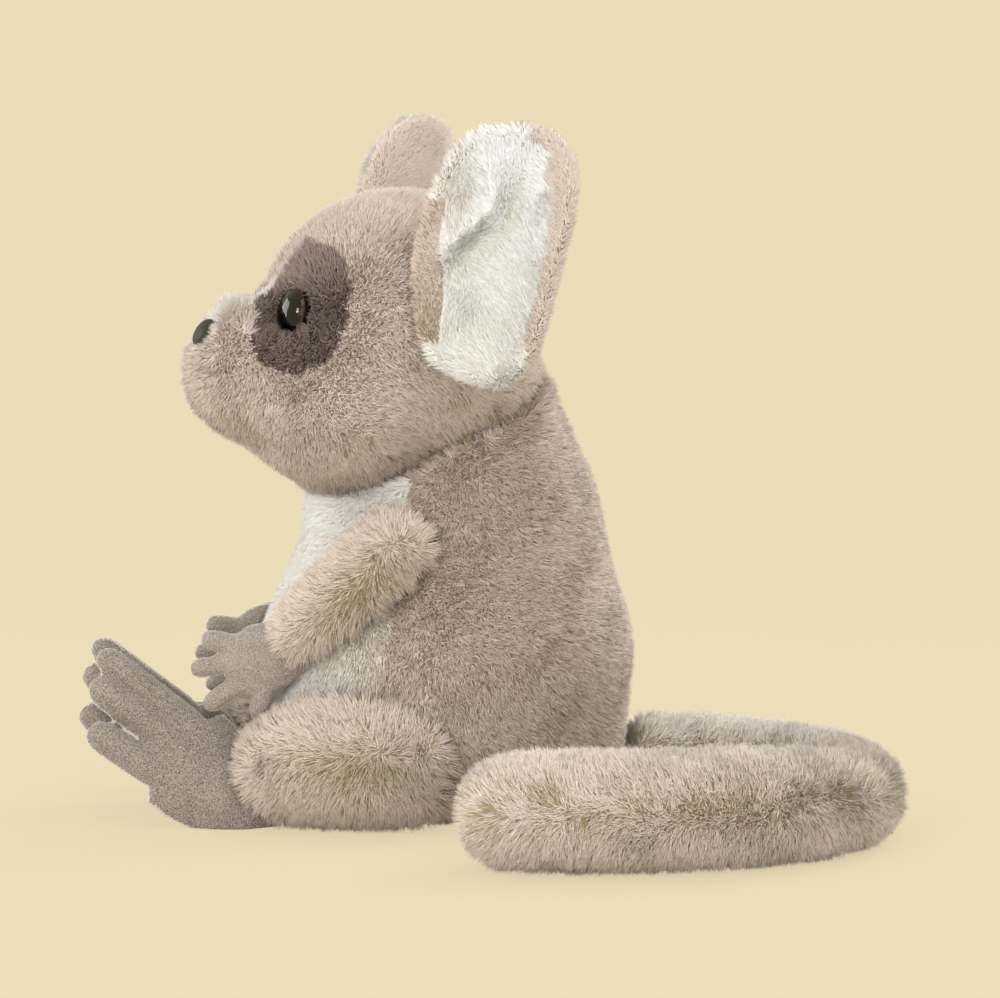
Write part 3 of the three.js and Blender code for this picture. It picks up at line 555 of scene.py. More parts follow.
def strands(name, skin, coat, comb, cloths, pick, seed, grown=None, scale=None, calm=None):
    """Pile over a skin, as one mesh of fine spikes over a shorter, darker undercoat.

    Comb gives the direction that the pile lies in at each root. Cloths lists, for each cloth, the
    indices of its undercoat's and of its top coat's materials, pick gives each strand its place in
    that list, and grown names the places that this pile grows on, where it isn't all of them.
    Scale gives a share of the coat's length, and calm a share of its spread and gathering. Comb,
    pick and scale may look up values of the skin by its nearest point to each root."""
    grown = range(len(cloths)) if grown is None else grown
    rng = np.random.default_rng(SEED + seed)
    roots, normals, lead = scattered(skin, coat.density, rng)
    cloth = pick(roots, normals, lead, rng)
    grows = np.isin(cloth, list(grown))
    length = coat.length * MM * rng.normal(1.0, LENGTH_SPREAD, len(roots)).clip(*LENGTH_LIMITS)
    under = rng.random(len(roots)) < UNDERCOAT_SHARE
    length = np.where(under, length * UNDERCOAT_LENGTH, length)
    if scale is not None:
        length = length * scale(roots, lead)
        grows &= length > LEAST_LENGTH * MM
    kept = (each[grows] for each in (roots, normals, cloth, length, under, lead))
    roots, normals, cloth, length, under, lead = kept
    loose = np.ones((len(roots), 1)) if calm is None else calm(roots)[:, None]
    lying = unit(comb(roots, lead)) + coat.swirl * swirl(roots)
    lying = unit(lying - (lying * normals).sum(axis=1, keepdims=True) * normals)
    stray = rng.normal(0, coat.spread, roots.shape) * loose
    tips = roots + unit(normals + coat.lay * lying + stray) * length[:, None]
    tips = tufted(tips, roots, coat.tuft ** 2 * coat.density * PILE_SHARE, coat.gather * loose, rng)
    tips[:, 2] = np.maximum(tips[:, 2], PILE_FLOOR * MM)
    points, shading, faces = spikes(roots, tips, normals, coat, rng)
    index = np.repeat(strand_shades(cloths, grown, cloth, under, rng), 3)
    return new_object(name, mesh_from(name, points, faces, index, pile_materials, shading))


# Shades of pile

SHADES = {
    "fawn_root": "#a18e7d",
    "fawn_shade": "#cdbcac",
    "fawn": "#dac9b9",
    "fawn_pale": "#e6d8ca",
    "olive_root": "#a0936f",
    "long_pale": "#efe2d4",
    "long_fawn": "#e2d3c3",
    "cream_root": "#dfded6",
    "cream": "#f2f2ed",
    "cream_white": "#fbfcfa",
    "brown_root": "#584a42",
    "brown": "#7c6b62",
    "brown_pale": "#94837a",
    "brown_top": "#a39287",
    "olive_tip": "#bfb28e",
    "belly_root": "#f1ebdf",
    "belly": "#fffaf0",
    "cream_shade": "#d5cfc2",
    "cream_warm": "#e3ddd1",
}

pile_materials = [pile_fibre("polyester_pile_" + name, colour) for name, colour in SHADES.items()]
shade_index = {name: i for i, name in enumerate(SHADES)}
FAWN_BACKING, CREAM_BACKING, BROWN_BACKING = range(3)
backings = [pile_backing("knitted_backing_fawn", "#a08f80", "#b8a897"),
            pile_backing("knitted_backing_cream", "#dad8cf", "#e8e6de"),
            pile_backing("knitted_backing_brown", "#4a3d36", "#5c4e46")]


def shades_of(roots, tips):
    """The shades of a cloth's undercoat and top coat, by their names, as material indices."""
    return [shade_index[name] for name in roots], [shade_index[name] for name in tips]


FAWN_SHADES = shades_of(["fawn_root", "fawn_root", "fawn_shade"], ["fawn", "fawn_shade", "fawn_shade"])
# Paler fawn: painted light from the floor's bounce on the seat and from the rim light on the back
PAINTED_LIGHT_SHADES = shades_of(["fawn_root", "fawn_shade"], ["fawn_pale", "fawn_pale", "long_pale"])
HEAD_SHADES = shades_of(["fawn_root", "fawn_shade"], ["fawn", "fawn", "fawn_pale", "fawn_pale"])
# Paler than the head's fawn: painted light for ear backs that lie in shade
EAR_BACK_SHADES = shades_of(["fawn", "fawn_pale"], ["fawn_pale", "long_pale", "long_pale"])
LONG_SHADES = shades_of(["olive_root", "fawn_root", "fawn_shade"], ["long_fawn", "fawn_pale", "fawn"])
# Paler than the limbs' long pile of the same cloth: painted light for a tail that the front lamp lights less
TAIL_SHADES = shades_of(["fawn_root", "fawn_shade", "fawn_shade"], ["long_pale", "long_fawn", "fawn_pale"])
BELLY_SHADES = shades_of(["belly_root"], ["belly", "belly", "cream"])
SHADED_FLANK_SHADES = shades_of(["fawn_root", "fawn_shade"], ["cream_shade", "fawn", "fawn_shade"])
# Paler pile on the tail's far run: painted light
FAR_LIT_SHADES = shades_of(["fawn", "fawn_pale"], ["long_pale", "cream", "long_pale"])
CREAM_SHADES = shades_of(["cream_root"], ["cream", "cream_white", "cream"])
BROWN_SHADES = shades_of(["brown_root"], ["brown", "brown_pale", "brown"])
BROWN_TOP_SHADES = shades_of(["brown"], ["brown_pale", "brown_top", "brown_top"])
RIM_SHADES = shades_of(["fawn", "fawn_shade"], ["fawn", "fawn_pale", "cream_shade"])
PALE_SHADES = shades_of(["fawn_shade", "cream_root"], ["fawn_pale", "cream", "fawn_pale"])
OLIVE_SHADES = shades_of(["olive_root", "olive_root"], ["olive_root", "olive_tip", "long_fawn"])
# Darker cream for the ear's hollows and the lining's foot: painted shade
RECESS_SHADOW_SHADES = shades_of(["cream_shade", "cream_warm"], ["cream_warm", "cream_warm", "cream"])
CLOUD_SHADES = shades_of(["fawn_root"], ["fawn_root", "fawn_shade", "olive_root"])


# The toy's forms


def faded(distance, reach):
    """One at no distance, falling smoothly to nothing at the reach."""
    share = np.clip(1 - distance / reach, 0, 1)
    return share * share * (3 - 2 * share)


def apart_from(places, middle):
    """Each place's distance from a middle, in mm."""
    return np.linalg.norm(places - middle, axis=1) / MM


def centre(node):
    """The middle of a node's box."""
    low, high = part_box(node)
    return (np.array(low) + np.array(high)) / 2


def dress(piece, body, slot, *nodes):
    """Rides a piece on its body, and hides the imported nodes that it stands for, if any."""
    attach(piece, body)
    if nodes:
        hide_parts(*nodes)


def declare(piece, body, slot, *nodes):
    """Dresses nodes in a stuffed piece."""
    dress(piece, body, slot, *nodes)


def clouds(cloth, plain, clouded, roots, rng):
    """The cloths of strands, with slow darker clouds through the plain one."""
    share = MOTTLE_SHARE * np.clip(waves(roots, MOTTLE_SIZE, 31), 0, 1)
    return np.where((cloth == plain) & (rng.random(len(roots)) < share), clouded, cloth)


SEAM_FLUFF = 0.45  # how much taller the pile stands beside the neck seam
SEAM_REACH = 14  # mm from the seam that it does
FLANK_FRONT = -60  # mm from the middle, where the belly's pile starts to take darker fawn and shaded cream strands towards its side: painted shade below the arm
FLANK_REACH = 26  # mm
FLANK_TOP = 72  # mm above the floor, the highest that it is fully mixed
FLANK_SHARE = 0.85  # of the strands beside the side seam
PAINTED_LIGHT_TOP = 22  # mm above the floor, up to where the seat's pile is painted paler: painted light from the floor's bounce
PAINTED_LIGHT_REACH = 60  # mm further up where that ends
PAINTED_LIGHT_BACK = 0.35  # how far a place must face back for its pile to be painted paler too: painted rim light
PAINTED_LIGHT_SHARE = 0.8
TORSO_LIE = [0.0, 0.25, -1.0]  # down, and a little to the back


def make_torso():
    """The body: fawn short pile that stands taller round the neck seam, and a smoother cream belly."""
    torso = skins["torso"]
    slots = [FAWN_BACKING, CREAM_BACKING, FAWN_BACKING, FAWN_BACKING]
    declare(torso.build(backings, slots), "torso", "fawn_short_pile", *torso.nodes)
    belly_panel = torso.nodes.index("torso_belly_panel")
    near_head = torso.distance_to(skins["head"])
    fawn, cream, clouded, shaded_flank, painted_light = range(5)
    cloths = [FAWN_SHADES, BELLY_SHADES, CLOUD_SHADES, SHADED_FLANK_SHADES, PAINTED_LIGHT_SHADES]

    def comb(places, lead):
        return np.tile(TORSO_LIE, (len(places), 1))

    def scale(roots, lead):
        return 1 + SEAM_FLUFF * faded(near_head[lead], SEAM_REACH)

    def pick(roots, normals, lead, rng):
        panels = np.where(torso.region[lead] == belly_panel, cream, fawn)
        cloth = clouds(panels, fawn, clouded, roots, rng)
        # Darker mixed pile low on the belly's side: painted shade below the arm
        near_side = np.clip((roots[:, 1] / MM - FLANK_FRONT) / FLANK_REACH, 0, 1)
        low = faded(roots[:, 2] / MM - FLANK_TOP, FLANK_REACH)
        mixed = rng.random(len(roots)) < FLANK_SHARE * near_side * low
        cloth = np.where((cloth == cream) & mixed, shaded_flank, cloth)
        # Paler pile low on the seat and on back-facing places: painted light
        seat = faded(roots[:, 2] / MM - PAINTED_LIGHT_TOP, PAINTED_LIGHT_REACH)
        lit_share = np.maximum(seat, np.clip(2 * (normals[:, 1] - PAINTED_LIGHT_BACK), 0, 1))
        return np.where((cloth == fawn) & (rng.random(len(roots)) < PAINTED_LIGHT_SHARE * lit_share), painted_light, cloth)

    for name, coat, grown, slot in (("torso_pile", SHORT, (fawn, clouded, painted_light), "fawn_short_pile"),
                                    ("belly_pile", BELLY, (cream, shaded_flank), "cream_pile")):
        dress(strands(name, torso, coat, comb, cloths, pick, 1, grown, scale), "torso", slot)


EYE_FORWARD = 2.6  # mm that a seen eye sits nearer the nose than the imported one
EYE_SUNK = 1.6  # mm that it sits deeper
NOSE_HALF_HEIGHT = 5.75  # mm
NOSE_WIDENING = 1.3  # its width over its height
NOSE_SUNK = 2.0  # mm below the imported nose's front


def eye_frame(side):
    """The middle of a seen eye's base, set forward and pulled into the pile, and the way that it faces."""
    cap, _ = triangles_of(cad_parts["eye_cap_" + side].data)
    base, _ = triangles_of(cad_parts["eye_base_" + side].data)
    outward = unit(cap.mean(axis=0) - base.mean(axis=0))
    reach = (base @ outward).max()
    middle = cap.mean(axis=0)
    middle = middle + outward * (reach - middle @ outward)
    forward = unit(np.array([0, -1.0, 0]) + outward[1] * outward)
    return middle + (forward * EYE_FORWARD - outward * EYE_SUNK) * MM, outward


def nose_frame():
    """The nose's middle at its front, and the direction that it faces."""
    points, _ = triangles_of(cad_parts["nose_button"].data)
    middle = points.mean(axis=0)
    outward = unit(middle - centre("nose_washer"))
    front = (points @ outward).max()
    return middle + outward * (front - middle @ outward), outward


def off_axis(places, middle, outward):
    """Each place's offset across the line through a middle along a direction."""
    offset = places - middle
    return offset - (offset @ outward)[:, None] * outward


EYE_PATCH_REACH = 12.5  # mm from an eye's middle that is brown all round it
PATCH_TOP_FROM = 3  # mm above an eye's middle where the brown starts to grow paler
PATCH_TOP_REACH = 13  # mm further up where it is palest
PATCH_OWN_REACH = 60  # mm from an eye's middle that counts as its own patch
PATCH_BEHIND = 2.2  # mm behind an eye's middle that the brown oval has its own
PATCH_HIGHER = 1  # mm above it
PATCH_HALF_WIDTH = 15.8  # mm
PATCH_HALF_HEIGHT = 22.8
PATCH_FULLNESS = 2.6  # the power that makes the oval a little fuller than an ellipse
PATCH_LEAN = 0.3  # of its half width that the oval's top leans back
PATCH_WAVER = 0.06  # how far its edge strays
PATCH_APART = 12.5  # mm from the head's middle that the brown ends at
HEAD_SMOOTHING = 25  # rounds that smooth the head's hollows away, to find them
HEAD_LIE_FROM = 10  # mm above the nose, the place that the pile lies away from
SEAM_LEAN = 1.4  # how far the head's pile leans over the neck seam
MUZZLE_TOP = 2  # mm above the nose's middle where the muzzle's top starts
MUZZLE_WHITE = 10.5  # mm from the nose that it is white
MUZZLE_FLUFF = 1.6  # how much taller its pile stands
MUZZLE_FLUFF_FROM = 6  # mm from the nose
MUZZLE_FLUFF_TO = 17
CLOUDS_TOP = 30  # mm above the nose, below which the head's pile has darker clouds
NOSE_SHORT_REACH = 14  # mm from the nose that the pile is shorter
NOSE_SHORTEST = 0.75
NOSE_OWN_REACH = 16  # mm from the nose's front that it can cover
NOTCH_SHORTER = 0.6  # how much shorter the pile is in the hollow between muzzle and forehead
NOTCH_REACH = 34  # mm from the nose that the hollow lies within
NOTCH_DEPTH = 0.5  # mm, the depth at which it is shortest
NOTCH_STRIPE_FROM = 20  # mm from the nose that the stripe's pile is shorter for it
NOTCH_STRIPE_TO = 40
EYE_CLEAR = 8.4  # mm from an eye's axis that no pile grows
EYE_CLEAR_FADE = 1.2  # mm further out where it has its length
EYE_CLEAR_REACH = 10  # mm from an eye's middle that this holds
CALM_REACH = 36  # mm above the nose, from where the pile lies calmest
CALM_MOST = 0.7
CALM_START = 1.1


def lay_brown_patches(head, middle):
    """Gives the skin's oval round each eye to the brown patches, from the middle of the left eye."""
    wide = ((head.points[:, 1] - middle[1]) / MM - PATCH_BEHIND) / PATCH_HALF_WIDTH
    tall = ((head.points[:, 2] - middle[2]) / MM - PATCH_HIGHER) / PATCH_HALF_HEIGHT
    wide -= PATCH_LEAN * tall
    reach = 1 + PATCH_WAVER * waves(head.points, 7, 51)
    oval = np.abs(wide) ** PATCH_FULLNESS + np.abs(tall) ** PATCH_FULLNESS < reach
    apart = np.abs(head.points[:, 0]) / MM > PATCH_APART
    left, right = (head.nodes.index("eye_patch_" + side) for side in SIDES)
    head.region[(head.region == left) | (head.region == right)] = 0
    head.region[oval & apart] = left


def make_head():
    """The head: fawn, brown round each eye and pale on the muzzle's top, in short pile that lies back."""
    head = skins["head"]
    nose, nose_facing = nose_frame()
    eyes = [eye_frame(side) for side in SIDES]
    lay_brown_patches(head, eyes[0][0])
    slots = [BROWN_BACKING if "patch" in node else FAWN_BACKING for node in head.nodes]
    declare(head.build(backings, slots), "head", "fawn_head_pile", *head.nodes)
    near_torso = head.distance_to(skins["torso"])
    hollow = head.hollows(HEAD_SMOOTHING)
    patch_panel = head.nodes.index("eye_patch_left")
    stripe_panel = head.nodes.index("muzzle_stripe")
    fawn, patch, patch_top, pale, white, clouded = range(6)
    cloths = [HEAD_SHADES, BROWN_SHADES, BROWN_TOP_SHADES, PALE_SHADES, CREAM_SHADES, CLOUD_SHADES]

    def comb(places, lead):
        away = places - nose
        away[:, 2] -= HEAD_LIE_FROM * MM
        over_seam = faded(near_torso[lead], SEAM_REACH)[:, None]
        return unit(away) + SEAM_LEAN * over_seam * unit(centre("torso_stuffing") - places)

    def pick(roots, normals, lead, rng):
        cloth = np.where(head.region[lead] == patch_panel, patch, fawn)
        cloth[head.region[lead] == stripe_panel] = pale
        for middle, _ in eyes:
            from_eye = apart_from(roots, middle)
            cloth[(from_eye < EYE_PATCH_REACH) & (np.abs(roots[:, 0]) > PATCH_APART * MM)] = patch
            over = (roots[:, 2] - middle[2]) / MM
            fades = rng.random(len(roots)) < faded(PATCH_TOP_FROM + PATCH_TOP_REACH - over, PATCH_TOP_REACH)
            cloth[(cloth == patch) & fades & (from_eye < PATCH_OWN_REACH)] = patch_top
        above = (roots[:, 2] - nose[2]) / MM
        cloth[(apart_from(roots, nose) < MUZZLE_WHITE) & (above > MUZZLE_TOP)] = white
        return np.where(above < CLOUDS_TOP, clouds(cloth, fawn, clouded, roots, rng), cloth)

    def round_the_nose(roots, lead):
        from_nose = apart_from(roots, nose)
        above = (roots[:, 2] - nose[2]) / MM
        share = np.clip(from_nose / NOSE_SHORT_REACH, NOSE_SHORTEST, 1.0)
        fluffy = (from_nose > MUZZLE_FLUFF_FROM) & (from_nose < MUZZLE_FLUFF_TO) & (above > MUZZLE_TOP)
        share = np.where(fluffy, share * MUZZLE_FLUFF, share)
        stripe = (from_nose > NOTCH_STRIPE_FROM) & (from_nose < NOTCH_STRIPE_TO)
        share = np.where(stripe & (head.region[lead] == stripe_panel), share * (1 - NOTCH_SHORTER), share)
        in_notch = (from_nose < NOTCH_REACH) & (above > 0)
        depth = np.clip(hollow[lead] / NOTCH_DEPTH, 0, 1)
        share = np.where(in_notch, share * (1 - NOTCH_SHORTER * depth), share)
        across = off_axis(roots, nose, nose_facing)
        tall = np.linalg.norm(across[:, 1:], axis=1)
        covered = np.hypot(across[:, 0] / NOSE_WIDENING, tall) < NOSE_HALF_HEIGHT * MM
        return np.where(covered & (from_nose < NOSE_OWN_REACH), 0.0, share)

    def scale(roots, lead):
        share = round_the_nose(roots, lead) * (1 + SEAM_FLUFF * faded(near_torso[lead], SEAM_REACH))
        for middle, outward in eyes:
            away = np.linalg.norm(off_axis(roots, middle, outward), axis=1) / MM
            clear = np.clip((away - EYE_CLEAR) / EYE_CLEAR_FADE, 0, 1)
            share = np.where(apart_from(roots, middle) < EYE_CLEAR_REACH, share * clear, share)
        return share

    def calm(roots):
        return CALM_START - CALM_MOST * faded(CALM_REACH - (roots[:, 2] - nose[2]) / MM, CALM_REACH)

    pile = strands("head_pile", head, HEAD_SHORT, comb, cloths, pick, 2, scale=scale, calm=calm)
    dress(pile, "head", "fawn_head_pile")


# Across an ear, up and out are measured from the lining's middle, in its own half length and
# half width, out towards the ear's outer edge

EAR_INSET = 1.6  # mm
EAR_WIDER = 1.8  # mm that an ear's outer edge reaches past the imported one
EAR_HIGHER = 1.8  # mm that its outer top corner does
EAR_PAST = 1.2  # the furthest up or out that this grows
EAR_SMOOTHING = 60  # rounds that smooth an ear's pleat away, to find the recess beside it
EAR_FRONT = 0.15  # how nearly a place faces as the lining does, to be on the ear's front
EAR_FLAT = 0.86  # the same, to be on the flat of it
FLAT_OUT = 0.5  # how far out the lining's pile covers the flat
SPILL_TOP = -0.05  # how high the lining's pile spills over the front edge
SPILL_OUT = 0.3  # how far out that reaches, further at the foot
EDGE_OUT = 0.84  # how far out the fawn edge starts
EDGE_WAVER = 0.05
EDGE_FOOT = -0.55
EDGE_TOP = 0.85
LOBE_OUT = -0.72  # how far to the front the fawn lobe starts
LOBE_FOOT = -0.8
LOBE_TOP = 0.45
LOBE_FULL = 0.4  # how high its pile keeps its length
LOBE_SHADOW_TOP = -0.15  # how high the lobe takes painted shade, darker as in the crease between ear and cheek
LOBE_SHADOW_SHARE = 0.85
RIM_LENGTH = 0.5  # of the coat's length that the pile has on an ear's edge
RIM_TURN = 1.3  # how soon it gains its length as the edge turns flat
RECESS_DEPTH = 0.8  # mm, how deep a hollow beside the pleat lies before its lining takes painted shade
RECESS_OUT = 0.45
RECESS_FOOT = -0.5
RECESS_SHARE = 0.75
LOWER_SHADE_TOP = 0.35  # how high the lining's foot takes the recess's painted shade
LOWER_SHADE_SHARE = 0.8
LIP_RISE = 1.7  # how fast the front lip takes on pale fawn specks: partly its fawn tint, partly painted shade under the fold
LIP_SHARE = 0.85
LIP_FOOT = 0.1
LIP_START = 6  # how fast they start above its foot
LIP_TOP = 1.4


def make_ear(side):
    """An ear: a fawn back that wraps the rim, and a cream lining that spills over its lower front edge."""
    nodes = ["ear_back_" + side, "ear_lining_" + side]
    ear = Skin("ear_skin_" + side, nodes, voxel=1.6, rounds=5, inset=EAR_INSET)
    declare(ear.build(backings, [FAWN_BACKING, CREAM_BACKING]), "ear_" + side, "fawn_head_pile", *nodes)
    low, high = (np.array(corner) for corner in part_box(nodes[0]))
    foot = np.array([*((low + high) / 2)[:2], low[2]])
    lined = ear.region == 1
    middle = ear.points[lined].mean(axis=0)
    facing = unit(ear.normals[lined].mean(axis=0))
    rising = unit(np.array([0, 0, 1.0]) - facing[2] * facing)
    outward = np.cross(rising, facing)
    outward = outward * math.copysign(1, outward[0] * middle[0])
    half_length = np.abs((ear.points[lined] - middle) @ rising).max()
    half_width = np.abs((ear.points[lined] - middle) @ outward).max()
    hollow = ear.hollows(EAR_SMOOTHING)
    rim, back, cream, recess, lip, lobe, lobe_foot_shadow = range(7)
    cloths = [RIM_SHADES, EAR_BACK_SHADES, CREAM_SHADES, RECESS_SHADOW_SHADES, PALE_SHADES, FAWN_SHADES,
              CLOUD_SHADES]

    def up_and_out(places):
        return (places - middle) @ rising / half_length, (places - middle) @ outward / half_width

    up, out = (np.clip(share, 0, EAR_PAST)[:, None] for share in up_and_out(ear.points))
    ear.points += (EAR_WIDER * out * outward + EAR_HIGHER * up * out * rising) * MM

    def comb(places, lead):
        return places - foot

    def pick(roots, normals, lead, rng):
        up, out = up_and_out(roots)
        front = normals @ facing > EAR_FRONT
        cloth = np.where(front, rim, back)
        cloth[(ear.region[lead] == 1) | (front & (up < SPILL_TOP) & (out < SPILL_OUT - up / 2))] = cream
        cloth[(cloth == rim) & (normals @ facing > EAR_FLAT) & (out < FLAT_OUT)] = cream
        edge = out > EDGE_OUT + EDGE_WAVER * waves(roots, 9, 41)
        cloth[front & edge & (up > EDGE_FOOT) & (up < EDGE_TOP)] = rim
        cloth[front & (out < LOBE_OUT) & (up < LOBE_TOP) & (up > LOBE_FOOT)] = lobe
        # Darker cream in the hollow beside the pleat: painted shade
        sunk = (hollow[lead] > RECESS_DEPTH) & (out < RECESS_OUT) & (up > RECESS_FOOT)
        cloth[(cloth == cream) & sunk & (rng.random(len(roots)) < RECESS_SHARE)] = recess
        # The lining's lower part partly darker: painted shade
        lower_shaded = rng.random(len(roots)) < LOWER_SHADE_SHARE * np.clip(LOWER_SHADE_TOP - up, 0, 1)
        cloth[(cloth == cream) & lower_shaded] = recess
        # Pale fawn specks on the front lip: partly its tint, partly painted shade under the fold
        specks = np.clip(-LIP_RISE * out, 0, LIP_SHARE)
        specks = specks * np.clip(LIP_TOP - up, 0, 1) * np.clip(LIP_START * (up - LIP_FOOT), 0, 1)
        cloth[np.isin(cloth, (cream, recess)) & front & (rng.random(len(roots)) < specks)] = lip
        # The lobe's foot darker: painted shade in the crease between ear and head
        shaded = rng.random(len(roots)) < np.clip(2 * (LOBE_SHADOW_TOP - up), 0, LOBE_SHADOW_SHARE)
        cloth[(cloth == lobe) & shaded] = lobe_foot_shadow
        return cloth

    def scale(roots, lead):
        up, out = up_and_out(roots)
        flat = np.clip(RIM_TURN * np.abs(ear.normals[lead] @ facing), 0, 1)
        flat = np.where((out < LOBE_OUT) & (up < LOBE_FULL), 1, flat)
        return RIM_LENGTH + (1 - RIM_LENGTH) * flat

    for name, coat, grown, slot in (("ear_pile_", EAR_SHORT, (rim, back, lobe, lobe_foot_shadow), "fawn_head_pile"),
                                    ("ear_lining_pile_", LINING, (cream, recess, lip), "cream_pile")):
        dress(strands(name + side, ear, coat, comb, cloths, pick, 3, grown, scale), "ear_" + side, slot)


LONG_INSET = 0.46  # of the long pile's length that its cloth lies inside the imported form
LIMB_FLUFF = 0.35  # how much taller a limb's pile stands where the limb lies on the body
LIMB_HELD = 0.75  # how much less a limb's pile spreads along it than round it
LIMB_LIE_ALONG = 4  # mm towards its hand or foot that the pile's spread is shifted
LIMB_LIE_DOWN = 6
LIMB_INNER = 1.5  # how soon the pile grows shorter as a limb's side turns to the body
LIMB_INNER_SHORTER = 0.3
PARTING_SHARE = 0.95  # of the strands that show olive where the long pile parts
PARTING_LENGTH = 0.6  # of a limb's half length
PARTING_WIDTH = 7  # mm


def make_limb(limb, side, mitt):
    """An arm or leg in long pile that spreads from the middle of its outer side, where darker roots show."""
    nodes = [limb + "_sleeve_" + side, limb + "_stuffing_" + side]
    skin = Skin(limb + "_skin_" + side, nodes, voxel=2.5, rounds=10, inset=LONG.length * LONG_INSET)
    near_torso = skin.distance_to(skins["torso"])
    declare(skin.build(backings, [FAWN_BACKING] * 2), limb + "_" + side, "fawn_long_pile", *nodes)
    low, high = (np.array(corner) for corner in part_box(nodes[0]))
    outer = (low + high) / 2
    outer[0] = high[0] if outer[0] > 0 else low[0]
    sideways = math.copysign(1, outer[0])
    half = (high - low) / 2
    along = centre(mitt + "_outer_panel_" + side) - (low + high) / 2
    along = unit(along * [0, 1, 1])
    plain, parted = range(2)

    def comb(places, lead):
        apart = places - outer
        lengthwise = LIMB_HELD * (apart @ along) - LIMB_LIE_ALONG * MM
        return apart - lengthwise[:, None] * along - [0, 0, LIMB_LIE_DOWN * MM]

    def pick(roots, normals, lead, rng):
        apart = (roots - outer) * [0, 1, 1]
        lengthwise = apart @ along
        crosswise = np.linalg.norm(apart - lengthwise[:, None] * along, axis=1)
        near = (lengthwise / (PARTING_LENGTH * half[1])) ** 2 + (crosswise / (PARTING_WIDTH * MM)) ** 2
        share = PARTING_SHARE * np.exp(-near) * np.clip(normals[:, 0] * sideways, 0, 1)
        return np.where(rng.random(len(roots)) < share, parted, plain)

    def scale(roots, lead):
        inner = np.clip(-LIMB_INNER * skin.normals[lead, 0] * sideways, 0, 1)
        return (1 - LIMB_INNER_SHORTER * inner) * (1 + LIMB_FLUFF * faded(near_torso[lead], SEAM_REACH))

    cloths = [LONG_SHADES, OLIVE_SHADES]
    pile = strands(limb + "_pile_" + side, skin, LONG, comb, cloths, pick, 4, scale=scale)
    dress(pile, limb + "_" + side, "fawn_long_pile")


TAIL_SLIMMER = 1.3  # mm further in that the tail's cloth lies
TAIL_FAR_FROM = 12  # mm behind the tail's middle where its paler pile starts: painted light on the far run
TAIL_LIE_ALONG = 0.45  # how far its pile lies along it
TAIL_LIE_APART = 2  # how far it spreads up and down from the middle
TAIL_PARTING_HEIGHT = 0.1  # of its height, above its middle
TAIL_PARTING_WIDTH = 0.2
TAIL_PARTING_MEAN = 0.6
TAIL_PARTING_WAVER = 0.5


def make_tail():
    """The tail in long pile, parted along the middle of its outer side, where darker roots show."""
    nodes = ["tail_sleeve", "tail_stuffing"]
    skin = Skin("tail_skin", nodes, voxel=3, rounds=12, inset=LONG.length * LONG_INSET + TAIL_SLIMMER)
    declare(skin.build(backings, [FAWN_BACKING] * 2), "tail", "fawn_long_pile", *nodes)
    low, high = (np.array(corner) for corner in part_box("tail_sleeve"))
    middle = (low + high) / 2
    plain, parted, far_lit = range(3)

    def comb(places, lead):
        around = places - middle
        along = unit(around[:, [1, 0, 2]] * [1, -1, 0])
        apart = around[:, 2] / (high[2] - low[2])
        return TAIL_LIE_ALONG * along + TAIL_LIE_APART * apart[:, None] * [0, 0, 1]

    def pick(roots, normals, lead, rng):
        apart = (roots[:, 2] - middle[2]) / (high[2] - low[2])
        broken = np.clip(TAIL_PARTING_MEAN + TAIL_PARTING_WAVER * waves(roots, 14, 61), 0, 1)
        near = np.exp(-((apart - TAIL_PARTING_HEIGHT) / TAIL_PARTING_WIDTH) ** 2) * broken
        sideways = np.clip(1 - normals[:, 2] ** 2, 0, 1)
        cloth = np.where(roots[:, 0] < middle[0] - TAIL_FAR_FROM * MM, far_lit, plain)
        return np.where(rng.random(len(roots)) < PARTING_SHARE * near * sideways, parted, cloth)

    cloths = [TAIL_SHADES, OLIVE_SHADES, FAR_LIT_SHADES]
    dress(strands("tail_pile", skin, LONG, comb, cloths, pick, 5), "tail", "fawn_long_pile")


MITT_INSET = -0.2  # mm, so that a hand's or foot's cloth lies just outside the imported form
MITT_SEAM = 0.9  # mm, how nearly a place lies between its two panels to be on their seam


def make_mitt(mitt, side, body):
    """A suede hand or foot, soft at its edges, with the paler turned seam between its two panels."""
    nodes = [mitt + "_inner_panel_" + side, mitt + "_outer_panel_" + side]
    skin = Skin(mitt + "_skin_" + side, nodes, voxel=1.0, rounds=6, inset=MITT_INSET)
    skin.region = np.where(skin.seam < MITT_SEAM * MM, 1, 0)
    nap = hand_nap if mitt == "hand" else foot_nap
    declare(skin.build([nap, turned_seam], [0, 1]), body, "suede", *nodes)


AXIS = 0.01  # mm, the radius of a turned piece's innermost ring
FACETS = 48  # round a turned piece
EYE_RADIUS = 9.0  # mm
EYE_RISE = 5.0
EYE_DOME_FOOT = -0.3  # mm, the height at which the dome starts to curve
EYE_DOME_DEPTH = 3.0
EYE_BASE_DEPTH = 3.5
PUPIL_SHARE = 0.8  # of the iris's radius
NOSE_HEIGHT = 2.8  # mm
NOSE_RIM = 1.6


